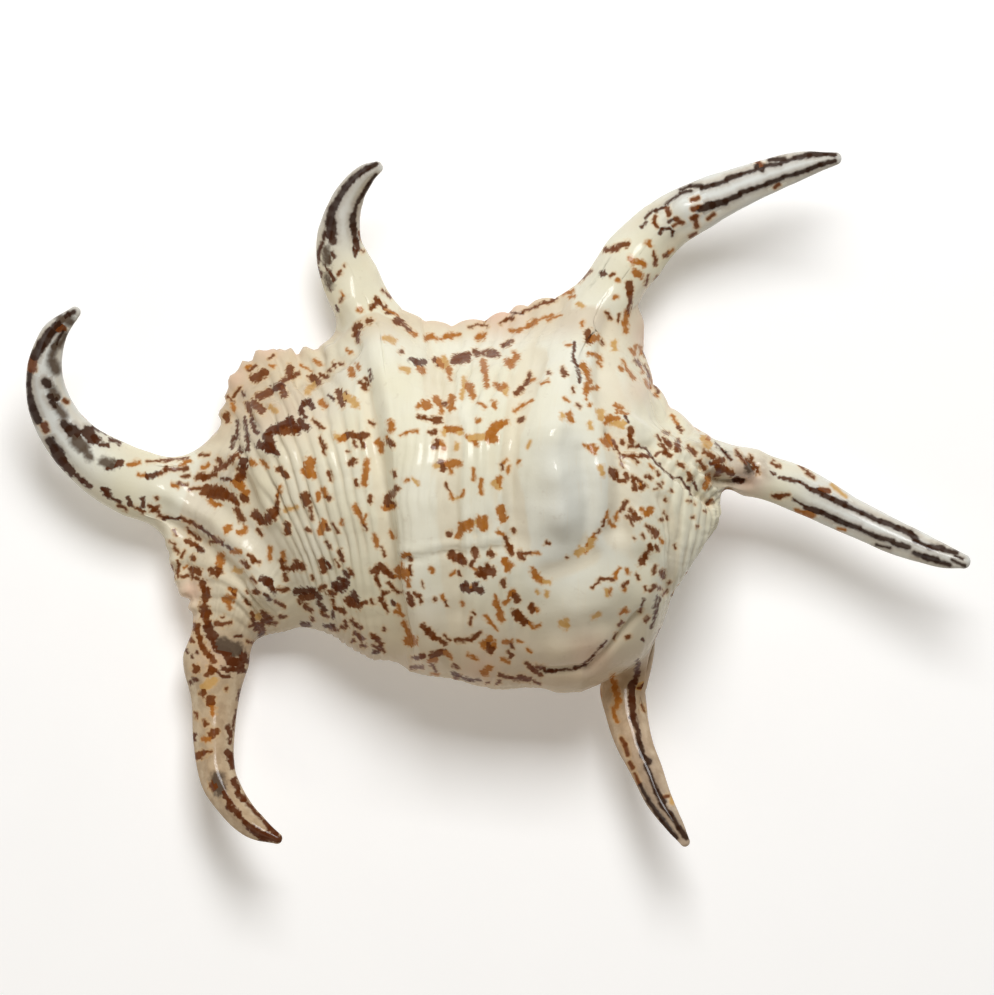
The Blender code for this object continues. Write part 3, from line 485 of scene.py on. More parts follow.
        (652, 458, 10, 10), (662, 468, 10, 9), (680, 478, 8, 10), (460, 677, 10, 3), (470, 680, 10, 0)),
        1.1: ((578, 370, 2, 12), (545, 671, 7, 0)),
        1.2: ((329, 395, 4, 5), (242, 392, 2, 4), (258, 636, 5, -3), (656, 612, -1, 6), (602, 646, 4, -5)),
        1.3: ((245, 418, 2, 14), (574, 343, -1, 15), (625, 417, 3, 4), (373, 652, 5, 0)),
        1.4: ((234, 437, -2, 11), (573, 360, 5, 6), (165, 518, 15, 0), (200, 527, 12, 10),
        (327, 561, 4, 7), (236, 636, 5, 0), (333, 612, 0, 5), (643, 640, 1, 1), (549, 670, 7, 1)),
        1.5: ((265, 594, 5, 5),),
        1.6: ((238, 422, -1, 15), (240, 448, 1, 5), (410, 359, 6, 3), (318, 602, 7, 8), (453, 673, 6, 4)),
        1.8: ((247, 435, 1, 15), (251, 420, 6, 13), (196, 545, 7, 7), (325, 626, 8, 0)),
        2: ((301, 411, 4, 6), (147, 476, 9, -2), (345, 573, 4, 5), (339, 579, 6, 1), (302, 624, 7, 1),
        (392, 601, 2, 3), (476, 584, 1, -1)),
        2.2: ((301, 411, 2, -7), (303, 404, 6, -2), (309, 402, 3, 5)),
        2.4: ((465, 585, 2, -1),),
        2.5: ((268, 582, 4, 7), (312, 591, 8, 6)),
        2.6: ((602, 274, 2, 0),),
        3: ((300, 422, 7, 6), (258, 445, 12, 2), (270, 447, 7, 6), (417, 363, 7, -1), (353, 594, 4, 6)),
        3.2: ((274, 389, 7, -3), (338, 588, 6, 0)),
        3.4: ((335, 586, 10, -2),),
        3.5: ((244, 461, -2, 13), (263, 579, 5, 3), (296, 592, 16, -2)),
        3.6: ((464, 588, 5, 2), (475, 588, 5, 2)),
        4: ((270, 432, 20, -10), (290, 421, 8, 9)),
        5: ((268, 437, 2, 11),),
    },
}

# Marks of the horn under the spire and of the three horns at the right and above.
UPPER_HORN_MARKS = {
    Tone.TAN: {
        1: ((832, 485, 14, 12),),
        2: ((672, 802, 4, -12),),
        3.4: ((705, 439, 3, 5),),
    },
    Tone.ORANGE: {
        0.8: ((384, 308, 14, 8),),
        1: ((697, 425, 3, 5), (838, 529, 7, 1), (668, 253, 5, -3), (342, 292, 1, 4)),
        1.2: ((614, 716, 4, 6),),
        1.5: ((796, 510, 8, 2),),
        1.6: ((613, 708, 1, 8),),
        1.8: ((630, 257, 1, 3),),
        2: ((359, 309, 2, 2),),
        2.2: ((613, 677, 2, 11), (640, 262, 3, 3)),
        2.4: ((648, 243, 2, 3),),
        2.6: ((615, 688, 3, 12), (707, 438, 1, 6)),
        3: ((618, 700, -1, 6), (805, 513, 7, 2), (706, 486, 2, -8)),
    },
    Tone.CHESTNUT: {
        0.8: ((340, 302, 3, -5), (361, 250, 2, 2), (383, 290, 8, 8)),
        1: ((642, 705, 2, 6), (800, 466, 7, 5), (654, 252, 2, 8), (656, 260, -1, 5), (345, 265, 0, 1),
        (359, 232, 3, 8)),
        1.2: ((736, 450, 4, 8), (772, 462, 8, 5), (807, 473, 7, 5), (654, 223, 4, 4), (672, 226, 8, -3),
        (690, 237, 6, -4), (664, 256, 4, -3)),
        1.4: ((635, 774, 5, 11), (740, 456, 5, 6), (678, 440, 1, 10), (708, 219, 6, -5), (387, 312, 5, 1)),
        1.5: ((750, 457, 4, 8),),
        1.6: ((621, 738, 4, 7), (664, 797, 4, -1), (772, 496, 16, -1), (707, 503, 5, -2),
        (655, 216, -1, 7), (775, 187, 4, -3), (374, 306, 3, -4), (357, 334, 1, 8)),
        1.8: ((625, 745, 3, 10), (688, 447, 7, 7), (692, 218, 5, -2)),
        2: ((630, 763, 3, 5), (699, 461, 5, 7), (722, 470, -7, 6), (774, 496, 5, 1), (689, 473, 1, 7),
        (676, 219, 6, 4), (692, 200, 6, -2), (757, 161, 4, 5), (339, 273, 2, -1), (378, 302, 6, 5),
        (371, 308, 3, -2)),
        2.2: ((605, 250, 10, -1), (695, 218, 2, 8)),
        2.4: ((746, 462, 6, 7), (756, 468, 1, 4), (820, 490, 8, 1), (615, 249, 13, -6), (667, 208, 2, 6),
        (693, 209, 7, -2), (376, 300, 2, 3), (368, 321, 3, 0)),
        2.6: ((705, 452, 8, 5),),
        3: ((715, 462, 7, -2), (718, 466, 7, 3), (396, 320, 4, 2), (357, 326, 3, 0), (356, 330, 1, 4)),
        3.2: ((720, 468, 11, 5),),
    },
    Tone.BLACKISH: {
        0.9: ((650, 213, 6, -4),),
        1: ((715, 443, 7, 7), (770, 472, 6, 3), (955, 556, 8, 3), (793, 499, 13, 8), (876, 545, 14, 3),
        (641, 227, 5, -5), (645, 218, 5, -5), (665, 205, 15, -11), (673, 232, -1, 4), (328, 284, 3, 6),
        (336, 306, 2, 5)),
        1.1: ((662, 229, 8, -1), (670, 228, 3, 4)),
        1.2: ((722, 450, 9, 9), (694, 483, 3, 7), (655, 211, 10, -4), (318, 255, 1, 7), (319, 268, 2, 8),
        (329, 256, 1, 7), (325, 264, 2, 6)),
        1.3: ((952, 560, 13, 6), (680, 193, 11, -2)),
        1.4: ((668, 222, 8, -3), (681, 190, 9, -4), (356, 205, -2, 9), (355, 250, 1, 6)),
        1.5: ((780, 478, 20, 4),),
        1.6: ((640, 785, 8, 15), (735, 478, 7, 2), (800, 482, 10, 7), (915, 541, 15, 6),
        (936, 561, 14, 4), (660, 233, 2, -4), (690, 186, 12, 0), (740, 175, 15, -5), (780, 163, 15, -5),
        (784, 177, 11, -3), (325, 232, -1, 8), (322, 243, -3, 11), (332, 253, 2, 5), (376, 175, -7, 9)),
        1.8: ((860, 529, 17, 8), (914, 553, 11, 4), (713, 185, 14, -4), (764, 166, 16, -2),
        (770, 160, 15, -1), (752, 189, 14, -4), (330, 272, 4, 8), (362, 195, -4, 7)),
        2: ((648, 800, 14, 20), (638, 662, -1, 10), (638, 730, 1, 14), (711, 463, 9, 5),
        (845, 505, 17, 8), (862, 513, 18, 8), (942, 550, 15, 3), (846, 524, 14, 4), (702, 188, 11, -3),
        (825, 153, 10, 2), (740, 193, 12, -4), (766, 184, 17, -6), (796, 174, 12, -4), (808, 170, 12, -5),
        (820, 165, 15, -4), (376, 164, -8, 4), (369, 184, -6, 10)),
        2.2: ((662, 820, 14, 18), (637, 672, -2, 10), (646, 765, 4, 10), (651, 778, 5, 12),
        (671, 815, 8, 13), (735, 480, 8, 1), (880, 521, 18, 7), (806, 508, 16, 4), (822, 512, 13, 7),
        (877, 537, 16, 4), (727, 179, 13, -4), (795, 158, 15, -3), (725, 201, 15, -6)),
        2.4: ((633, 716, 3, 11), (640, 744, 3, 12), (661, 804, 10, 11), (679, 828, 7, 10),
        (812, 490, 10, 3), (822, 494, 10, 5), (832, 499, 13, 6), (835, 519, 11, 5), (893, 543, 15, 4),
        (354, 231, 2, 9)),
        2.6: ((643, 756, 6, 6), (898, 528, 14, 6), (757, 167, 5, 2), (368, 168, -8, 5), (360, 173, -8, 7),
        (356, 241, 1, 7)),
        2.8: ((810, 155, 15, -2), (352, 180, -7, 8), (345, 188, -6, 10), (353, 216, 0, 10)),
        3: ((632, 700, 1, 16), (657, 793, 6, 9), (911, 533, 5, 7), (930, 547, 12, 1), (925, 557, 11, 3),
        (712, 205, 13, -3), (338, 200, -5, 8), (353, 226, 1, 3)),
        3.2: ((633, 684, -1, 16),),
        3.4: ((700, 209, 12, -4), (331, 234, 2, 7)),
        3.8: ((332, 210, -2, 12),),
        5: ((331, 222, 0, 12),),
    },
    Tone.SMOKE: {
        3: ((327, 276, 3, 10),),
        4: ((749, 464, 1, 6), (326, 250, 1, 12)),
    },
}

# Marks of the left horn and of the canal.
LEFT_HORN_MARKS = {
    Tone.TAN: {
        3: ((214, 680, -9, 8),),
    },
    Tone.ORANGE: {
        1: ((138, 475, 9, 1),),
        1.2: ((130, 465, 8, -3),),
        1.6: ((212, 712, 1, 2),),
        2: ((212, 706, 1, 2), (204, 740, 4, -1)),
    },
    Tone.CHESTNUT: {
        1: ((158, 516, 10, 2), (203, 754, 8, -3)),
        1.2: ((149, 506, 8, 6),),
        1.3: ((119, 505, 7, 4),),
        1.4: ((137, 508, 6, 4), (226, 688, 0, 1), (196, 714, 1, 3)),
        1.6: ((64, 400, 3, 2), (191, 640, 2, 2), (205, 721, 1, 3)),
        2: ((200, 638, 3, 8), (203, 648, 7, 8), (210, 656, 4, 6), (213, 670, -6, 5)),
        2.2: ((192, 625, 5, 1), (196, 630, 4, 8)),
        2.6: ((44, 425, 2, 5), (211, 668, 3, 2), (211, 734, 4, -2), (197, 756, 6, -2)),
        3: ((203, 692, 0, 1),),
        3.2: ((58, 328, 4, 0), (206, 614, 1, 10)),
        3.4: ((204, 606, 2, 8), (196, 668, 1, 1), (210, 700, 1, 3)),
        3.6: ((33, 360, -1, 8),),
        4: ((214, 786, 4, -2),),
    },
    Tone.BLACKISH: {
        0.8: ((192, 655, 1, 3), (236, 710, -3, 20)),
        0.9: ((215, 671, 7, 4), (186, 651, 2, 2)),
        1: ((213, 640, 1, 10), (196, 652, 1, 1), (229, 738, 1, 5), (244, 800, 6, 6), (240, 690, -2, 10)),
        1.2: ((64, 330, -6, 10), (93, 427, 12, 6), (191, 682, 0, 2), (252, 808, 10, 10)),
        1.4: ((103, 490, 5, 4), (110, 439, 10, 4), (223, 676, 7, 1), (239, 814, 6, 8)),
        1.5: ((113, 499, 6, 3),),
        1.6: ((74, 312, -6, 3), (82, 480, 8, 7), (100, 444, 8, 1), (108, 468, 6, -2), (194, 680, 2, 0),
        (195, 735, 0, 5)),
        1.8: ((142, 499, 1, 7), (30, 372, -1, 12), (29, 384, 1, 12), (228, 727, 2, 8)),
        2: ((128, 499, 3, 6), (76, 475, 6, 5), (57, 343, -3, 4), (212, 640, 6, 10), (228, 800, 1, 7),
        (238, 792, 6, 8)),
        2.2: ((68, 315, -10, 9), (52, 402, 3, 3), (222, 669, 10, 1), (234, 780, 4, 10), (231, 808, 8, 6)),
        2.4: ((94, 438, 4, 3), (112, 466, 8, -3), (232, 670, 11, 0), (231, 758, 2, 8), (222, 790, 6, 10),
        (246, 824, 8, 6), (271, 828, 5, 5)),
        2.6: ((30, 398, 3, 10), (104, 490, 5, 5), (50, 396, 6, 2), (227, 753, 4, 5), (266, 822, 4, 5)),
        3: ((33, 408, 5, 12), (45, 382, 3, 2), (64, 424, 4, 4)),
        3.2: ((62, 462, 10, 10), (219, 650, 7, 2), (218, 780, 4, 8), (254, 830, 10, 6)),
        3.4: ((58, 325, -8, 8), (50, 441, 4, 7), (242, 656, 4, 4)),
        3.6: ((41, 346, -6, 10),),
        3.8: ((50, 333, -8, 12),),
        4: ((208, 626, 4, 10), (227, 654, 6, 8), (233, 662, 7, 1), (264, 836, 13, 2)),
        4.4: ((56, 450, 5, 10), (72, 430, 4, 4)),
        4.6: ((88, 432, 4, 6),),
    },
    Tone.SMOKE: {
        2.5: ((66, 335, -6, 10),),
        3: ((56, 345, -4, 10), (86, 450, 4, 8)),
        3.2: ((58, 408, 6, 8),),
        3.4: ((52, 390, 4, 6),),
        3.5: ((60, 318, 10, 4),),
        4: ((52, 362, 4, 8), (104, 462, 8, 2)),
        5: ((76, 440, 6, 6), (218, 778, 2, 12)),
        6: ((222, 645, 14, 5),),
    },
}

# Every table with the share by which its strokes are widened.
MARKS = ((1.15, BODY_MARKS), (1.1, UPPER_HORN_MARKS), (1.35, LEFT_HORN_MARKS))


def ease(low: float, high: float, at: np.ndarray) -> np.ndarray:
    """Smooth step: 3p^2 - 2p^3 of the share p of the way from low to high, held at 0 before and 1 after.

    Args:
        low: Where the step starts.
        high: Where the step ends.
        at: Places at which it is read.

    Returns:
        The step at each place.
    """
    part = np.clip((np.asarray(at, float) - low) / (high - low), 0, 1)
    return part * part * (3 - 2 * part)


def hill(centre: float, width: float, at: np.ndarray) -> np.ndarray:
    """Bell curve exp(-((at - centre) / width)^2).

    Args:
        centre: Where it is highest.
        width: Distance at which it has fallen to 1/e.
        at: Places at which it is read.

    Returns:
        The height at each place, 1 at the centre.
    """
    return np.exp(-(((at - centre) / width) ** 2))


def wrapped(turn: np.ndarray) -> np.ndarray:
    """The same turn, from -pi to pi."""
    return (turn + np.pi) % (2 * np.pi) - np.pi


def link(data: "bpy.types.Mesh | bpy.types.Light | bpy.types.Camera") -> bpy.types.Object:
    """Makes an object of its own for some data, under the same name, and puts it in the scene."""
    made = bpy.data.objects.new(data.name, data)
    bpy.context.scene.collection.objects.link(made)
    return made


@dataclass(frozen=True)
class Curve:
    """Smooth curve through knots, each a place followed by the values there."""

    knots: tuple

    def at(self, place: np.ndarray) -> np.ndarray:
        """Cubic Hermite curve, with the slope at each knot taken from its neighbours.

        Args:
            place: Places along the curve.

        Returns:
            One value for each place, or one row of values where the knots have several.
        """
        table = np.array(self.knots, float)
        knot, values = table[:, 0], table[:, 1:]
        slope = np.gradient(values, knot, axis=0)
        place = np.clip(np.asarray(place, float), knot[0], knot[-1])
        left = np.clip(np.searchsorted(knot, place, side="right") - 1, 0, len(knot) - 2)
        width = (knot[left + 1] - knot[left])[..., None]
        part = (place[..., None] - knot[left][..., None]) / width
        result = (
            values[left] * (1 + 2 * part) * (1 - part) ** 2
            + slope[left] * width * part * (1 - part) ** 2
            + values[left + 1] * part**2 * (3 - 2 * part)
            + slope[left + 1] * width * part**2 * (part - 1)
        )
        return result[..., 0] if values.shape[1] == 1 else result


@dataclass(frozen=True)
class Grain:
    """Smooth random lumps in space, the same on every run."""

    seed: int
    cells: int = 32

    def at(self, points: np.ndarray, size: float) -> np.ndarray:
        """Random numbers on a cubic lattice, blended between its corners with the smooth step.

        Args:
            points: Places in mm, as (..., xyz).
            size: Width of one cell of the lattice in mm.

        Returns:
            A value from -1 to 1 at each place.
        """
        lattice = np.random.default_rng(self.seed).uniform(-1, 1, (self.cells,) * 3)
        spot = points / size
        low = np.floor(spot).astype(int)
        part = spot - low
        part = part * part * (3 - 2 * part)
        result = np.zeros(points.shape[:-1])
        for corner in np.ndindex(2, 2, 2):
            index = (low + corner) % self.cells
            weight = np.prod(np.where(np.array(corner) == 1, part, 1 - part), axis=-1)
            result = result + weight * lattice[index[..., 0], index[..., 1], index[..., 2]]
        return result


@dataclass(frozen=True)
class Photograph:
    """The view from straight above, in which the marks and the small relief are placed."""

    pixel: float = PIXEL_MM
    centre: tuple = PHOTO_CENTRE
    height: float = CAMERA_HEIGHT_MM
    level: float = HORN_LEVEL_MM

    def scale(self, z: np.ndarray) -> np.ndarray:
        """Millimetres to a pixel at height z, which shrinks in step with the distance to the camera."""
        return self.pixel * (self.height - z) / (self.height - self.level)

    def pixels(self, points: np.ndarray) -> np.ndarray:
        """Where points of the plan come in the photograph.

        Args:
            points: Places in mm in the plan's own frame, as (..., xyz).

        Returns:
            Pixel column and row, as (..., 2).
        """
        scale = self.scale(points[..., 2])
        column = self.centre[0] + points[..., 0] / scale
        row = self.centre[1] - points[..., 1] / scale
        return np.stack([column, row], -1)


@dataclass(frozen=True)
class BodyPlan:
    """The loft: closed loops from the tip of the spire, station 0, to the root of the canal."""

    rows: tuple = (FOOT_ROW, FLANK_ROW, BACK_ROW, SHOULDER_ROW, LIP_ROW)
    shares: tuple = ROW_SHARES
    guides: int = GUIDES

    def sections(self, station: np.ndarray) -> tuple:
        """Guide points of each loop's section, in loop order.

        The back runs from the lip over the crest to the foot, and returns below through the callus and the
        aperture. Near the tip of the spire the section is a circle instead. The numbers below are the shares
        and heights of these points.

        Args:
            station: Stations of the loops.

        Returns:
            Share of the way from foot to lip, and height in mm, each as (stations, guides).
        """
        crest = Curve(CREST_Z).at(station)
        lip, half = Curve(LIP_Z).at(station), Curve(LIP_THICKNESS).at(station) / 2
        under, callus = Curve(UNDER_LIP_Z).at(station), Curve(CALLUS_Z).at(station)
        inner, outer = Curve(INNER_LIP).at(station), Curve(OUTER_LIP).at(station)
        hollow = np.clip(Curve(HOLLOW).at(station), 0, 1)
        top = lip + half
        rise = crest - top
        zero = np.zeros_like(station)
        dent = 0.5 * (under + callus) + 1.5

        def cave(share: np.ndarray, height: np.ndarray, plain_share: np.ndarray, plain: np.ndarray) -> tuple:
            """A guide point of the aperture, or of a plain dent where the shell isn't hollow."""
            return hollow * share + (1 - hollow) * plain_share, hollow * height + (1 - hollow) * plain

        body = [
            (zero + 1.012, lip), (zero + 0.975, top), (zero + 0.90, top + 0.09 * rise),
            (zero + 0.81, top + 0.36 * rise), (zero + 0.71, top + 0.68 * rise),
            (zero + 0.60, top + 0.91 * rise), (zero + 0.47, 1.02 * crest), (zero + 0.32, crest),
            (zero + 0.17, 0.88 * crest), (zero + 0.04, 0.66 * crest), (zero - 0.015, 0.45 * crest),
            (zero + 0.015, 0.25 * crest), (zero + 0.10, callus + 0.10 * crest),
            (zero + 0.24, callus + 0.01 * crest), (zero + 0.38, callus),
            cave(inner, callus + 4, inner * 0.92, callus),
            cave(inner - 0.02, 9 + zero, inner * 0.95, dent),
            cave(inner - 0.10, 0.36 * crest, inner * 0.98, dent + 0.8),
            cave(inner - 0.24, 0.46 * crest, inner, dent + 1.2),
            cave(zero + 0.085, 0.53 * crest, inner * 1.01, dent + 1.5),
            cave(zero + 0.15, 0.79 * crest, inner * 1.03, dent + 1.6),
            cave(zero + 0.41, 0.90 * crest, inner * 1.05, dent + 1.5),
            cave(zero + 0.64, 0.72 * crest, inner * 1.08, dent + 1.2),
            cave(zero + 0.74, 0.37 * crest, outer * 1.0, dent + 0.8),
            cave(outer + 0.01, 0.13 * crest + 1.5, outer * 1.03, dent),
            cave(outer + 0.01, under + 3.5, outer * 1.08, under + 0.5),
            (outer + 0.07, under - 0.2), (zero + 0.87, under), (zero + 0.965, lip - half),
        ]
        share = np.stack([pair[0] for pair in body], -1)
        height = np.stack([pair[1] for pair in body], -1)
        count = len(body)
        turn = np.concatenate([np.arange(10) / 10, 1 + np.arange(count - 10) / (count - 10)]) * np.pi
        radius = Curve(SPIRE_RADIUS).at(station)[:, None]
        blend = ease(2, 6, station)[:, None]
        share = blend * share + (1 - blend) * (0.5 + 0.5 * np.cos(turn))
        height = blend * height + (1 - blend) * (SPIRE_CENTRE_Z + radius * np.sin(turn))
        return share, height

    def spline(self, values: np.ndarray, place: np.ndarray) -> np.ndarray:
        """Closed uniform cubic B-spline over the last axis of the guides.

        Args:
            values: Guide values, as (stations, guides).
            place: Places round the loop, counted in guides.

        Returns:
            The curve's value at each place, as (stations, places).
        """
        first = np.floor(place).astype(int)
        part = place - first
        weights = (
            (1 - part) ** 3 / 6,
            (3 * part**3 - 6 * part**2 + 4) / 6,
            (-3 * part**3 + 3 * part**2 + 3 * part + 1) / 6,
            part**3 / 6,
        )
        near = [(first + step - 1) % self.guides for step in range(4)]
        return sum(weight * values[..., guide] for guide, weight in zip(near, weights))

    def over_plan(self, station: np.ndarray, share: np.ndarray) -> np.ndarray:
        """Plan position: along each row by station, and across the five rows by Lagrange's formula.

        Args:
            station: Stations of the loops.
            share: Share of the way from foot to lip, as (stations, places).

        Returns:
            x and y in mm, as (stations, places, 2).
        """
        rows = np.stack([Curve(row).at(station) for row in self.rows], 1)
        result = 0
        for index, own in enumerate(self.shares):
            weight = np.ones_like(share)
            for other in self.shares:
                if other != own:
                    weight = weight * (share - other) / (own - other)
            result = result + weight[..., None] * rows[:, index, None, :]
        return result

    def relief(self, station: np.ndarray, place: np.ndarray, share: np.ndarray) -> np.ndarray:
        """How far the plain shell stands out from the loft: bell curves for ribs, rises and foot lobes.

        Args:
            station: Station of each point.
            place: Place round the loop.
            share: Share of the way from foot to lip.

        Returns:
            Height along the normal in mm.
        """
        back = ease(-0.5, 1.2, place) * (1 - ease(9.5, 12, place))
        height = 0
        for centre, width, at_lip, at_crest, at_foot in RIBS:
            knots = ((0, at_lip), (3, at_lip), (6, at_crest), (10.5, at_foot), (self.guides, 0))
            height = height + Curve(knots).at(place) * hill(centre, width, station)
        for rise, middle, half_width, middle_place, half_round in RISES:
            bell = hill(middle, half_width, station) * hill(middle_place, half_round, place)
            height = height + rise * bell
        height = height + ease(0.52, 0.62, share) * ease(1.5, 3, station) * (1 - ease(6, 8, station))
        lobe_place = hill(FOOT_LOBE_PLACE, FOOT_LOBE_WIDTH, place)
        for first, last in zip(FOOT_LOBES, FOOT_LOBES[1:]):
            along = np.clip((station - first) / (last - first), 0, 1)
            within = (along > 0) & (along < 1)
            lobe = np.sqrt(np.sin(np.pi * along)) - 0.5 * within
            height = height + FOOT_LOBE_HEIGHT * lobe * lobe_place
        return height * back

    def surface(self, station: np.ndarray, place: np.ndarray) -> np.ndarray:
        """Points of the loft, moved out along its normal by the relief.

        Args:
            station: Stations of the loops.
            place: Places round every loop, from 0 up to the number of guides.

        Returns:
            Points in mm, as (stations, places, xyz).
        """
        share_guides, height_guides = self.sections(station)
        share = self.spline(share_guides, place)
        height = self.spline(height_guides, place)
        points = np.concatenate([self.over_plan(station, share), height[..., None]], -1)
        along = np.gradient(points, station, axis=0)
        around = np.roll(points, -1, 1) - np.roll(points, 1, 1)
        normal = np.cross(around, along)
        normal = normal / np.maximum(np.linalg.norm(normal, axis=-1, keepdims=True), 1e-6)
        grown = self.relief(station[:, None], place[None, :], share)
        return points + normal * grown[..., None]


@dataclass(frozen=True)
class Horn:
    """One curved horn: a half-open channel whose section follows a centre line from its root to its tip."""

    path: tuple
    width: tuple
    begins: float
    root: "tuple | None"
    root_rows: int = 9
    rows: int = 40
    tip_rows: int = 5

    def centre_line(self, at: np.ndarray) -> tuple:
        """Point, forward, side and up directions of the centre line; side is level.

        Args:
            at: Places along the path, counted in its points.

        Returns:
            Four arrays of xyz, one row for each place.
        """
        line = Curve(tuple((place, *point) for place, point in enumerate(self.path)))
        at = np.asarray(at, float)
        forward = line.at(at + 0.03) - line.at(at - 0.03)
        forward = forward / np.linalg.norm(forward, axis=-1, keepdims=True)
        side = np.cross(forward, (0.0, 0.0, 1.0))
        side = side / np.linalg.norm(side, axis=-1, keepdims=True)
        return line.at(at), forward, side, np.cross(side, forward)

    def shape(self, turn: np.ndarray, along: np.ndarray) -> np.ndarray:
        """Share of the full radius: 1, less bell curves for two grooves above and the open channel below.

        Args:
            turn: Turn round the horn in radians from its top.
            along: Share of the way from root to tip.

        Returns:
            The share at each point.
        """
        aside = np.abs(wrapped(turn))
        below = aside - np.pi
        grooves = GROOVE_DEPTH * hill(GROOVE_TURN, GROOVE_WIDTH, aside)
        channel = CHANNEL_DEPTH * hill(0, CHANNEL_WIDTH, below)
        return 1 - ease(0.0, 0.3, along) * (grooves + channel)

    def rings(self, ring: np.ndarray, inward: np.ndarray) -> tuple:
        """Rings from the root to the tip: a Hermite sheet off the body, then the horn's own sections.

        Args:
            ring: The edge of the hole that the horn grows from, as (points, xyz).
            inward: The body's own direction into the hole at each of those points.

        Returns:
            The rings as (rows, points, xyz), the tip, how far along each row lies (below 0 before the plain
            horn begins) and the turn of each point.
        """
        last = len(self.path) - 1
        middle = ring.mean(0)
        _, _, side, up = self.centre_line([0.4])
        aside, above = (ring - middle) @ side[0], (ring - middle) @ up[0]
        turn = np.unwrap(np.arctan2(aside / np.ptp(aside), above / np.ptp(above)))
        sense = np.sign(turn[-1] - turn[0])
        even = sense * 2 * np.pi * np.arange(len(ring)) / len(ring)
        even = even + (turn - even).mean()

        plain = np.linspace(0, 1, self.rows + 1)
        bulb = np.linspace(0, np.pi / 2, self.tip_rows + 2)[1:-1]
        along = np.concatenate([plain, np.ones(self.tip_rows)])
        place = self.begins + (last - self.begins) * along
        point, forward, side, up = self.centre_line(place)
        width = Curve(tuple(enumerate(self.width))).at(place)
        reach = 0.5 * width[-1] * np.concatenate([np.zeros(self.rows + 1), np.sin(bulb)])
        point = point + forward * reach[:, None]
        width = width * np.concatenate([np.ones(self.rows + 1), np.cos(bulb)])
        depth = np.minimum(HORN_DEPTH * width, ROOT_DEPTH)
        relaxed = ease(0, 0.5, along)[:, None]
        angle = (1 - relaxed) * turn + relaxed * even
        shape = self.shape(angle, along[:, None])
        across = 0.5 * width[:, None] * shape * np.sin(angle)
        tall = 0.5 * depth[:, None] * shape * np.cos(angle)
        rings = point[:, None] + side[:, None] * across[..., None] + up[:, None] * tall[..., None]

        span = np.linalg.norm(rings[0] - ring, axis=1)[:, None]
        part = (np.arange(1, self.root_rows) / self.root_rows)[:, None, None]
        sheet = (
            ring * (1 + 2 * part) * (1 - part) ** 2
            + inward * span * part * (1 - part) ** 2
            + rings[0] * part**2 * (3 - 2 * part)
            + forward[0] * span * part**2 * (part - 1)
        )
        tip = point[-1] + forward[-1] * (0.5 * self.width[-1] - reach[-1])
        rows = np.concatenate([sheet, rings])
        run = np.concatenate([part[:, 0, 0] - 1, along])
        return rows, tip, run, np.concatenate([np.tile(turn, (self.root_rows - 1, 1)), angle])


class Skin:
    """Points and faces of the one closed surface, with what is known of each point."""

    FIELDS = ("station", "place", "horn", "along", "turn")

    def __init__(self) -> None:
        """Starts an empty skin."""
        self.parts: list = []
        self.known: dict = {name: [] for name in self.FIELDS}
        self.quads: list = []
        self.tris: list = []
        self.count = 0

    def add(self, points: np.ndarray, **fields: np.ndarray) -> np.ndarray:
        """Adds points.

        Args:
            points: Places in mm, as (..., xyz).
            fields: Values of any of FIELDS, one for each point; a horn of -1 is the body.

        Returns:
            The numbers of the new points, in the same arrangement.
        """
        points = np.asarray(points, float)
        shape = points.shape[:-1]
        numbers = np.arange(self.count, self.count + math.prod(shape)).reshape(shape)
        self.parts.append(points.reshape(-1, 3))
        for name in self.FIELDS:
            value = fields.get(name, -1.0 if name in ("horn", "along") else 0.0)
            self.known[name].append(np.broadcast_to(value, shape).reshape(-1).astype(float))
        self.count += numbers.size
        return numbers

    def strip(self, first: np.ndarray, second: np.ndarray) -> None:
        """Adds quads between two closed rings of the same length, given by their points' numbers."""
        after = np.roll(np.arange(len(first)), -1)
        self.quads.append(np.stack([first, first[after], second[after], second], -1))

    def fan(self, ring: np.ndarray, middle: int) -> None:
        """Closes a ring with triangles to its middle."""
        self.tris.append(np.stack([ring, np.roll(ring, -1), np.full_like(ring, middle)], -1))

    def gather(self) -> tuple:
        """Everything added so far, without the points in the horns' holes, which no face uses.

        Returns:
            All points, quads, triangles and the known fields, each as one array.
        """
        quads, tris = np.concatenate(self.quads), np.concatenate(self.tris)
        used = np.zeros(self.count, bool)
        used[quads] = used[tris] = True
        number = np.cumsum(used) - 1
        known = {name: np.concatenate(values)[used] for name, values in self.known.items()}
        return np.concatenate(self.parts)[used], number[quads], number[tris], known


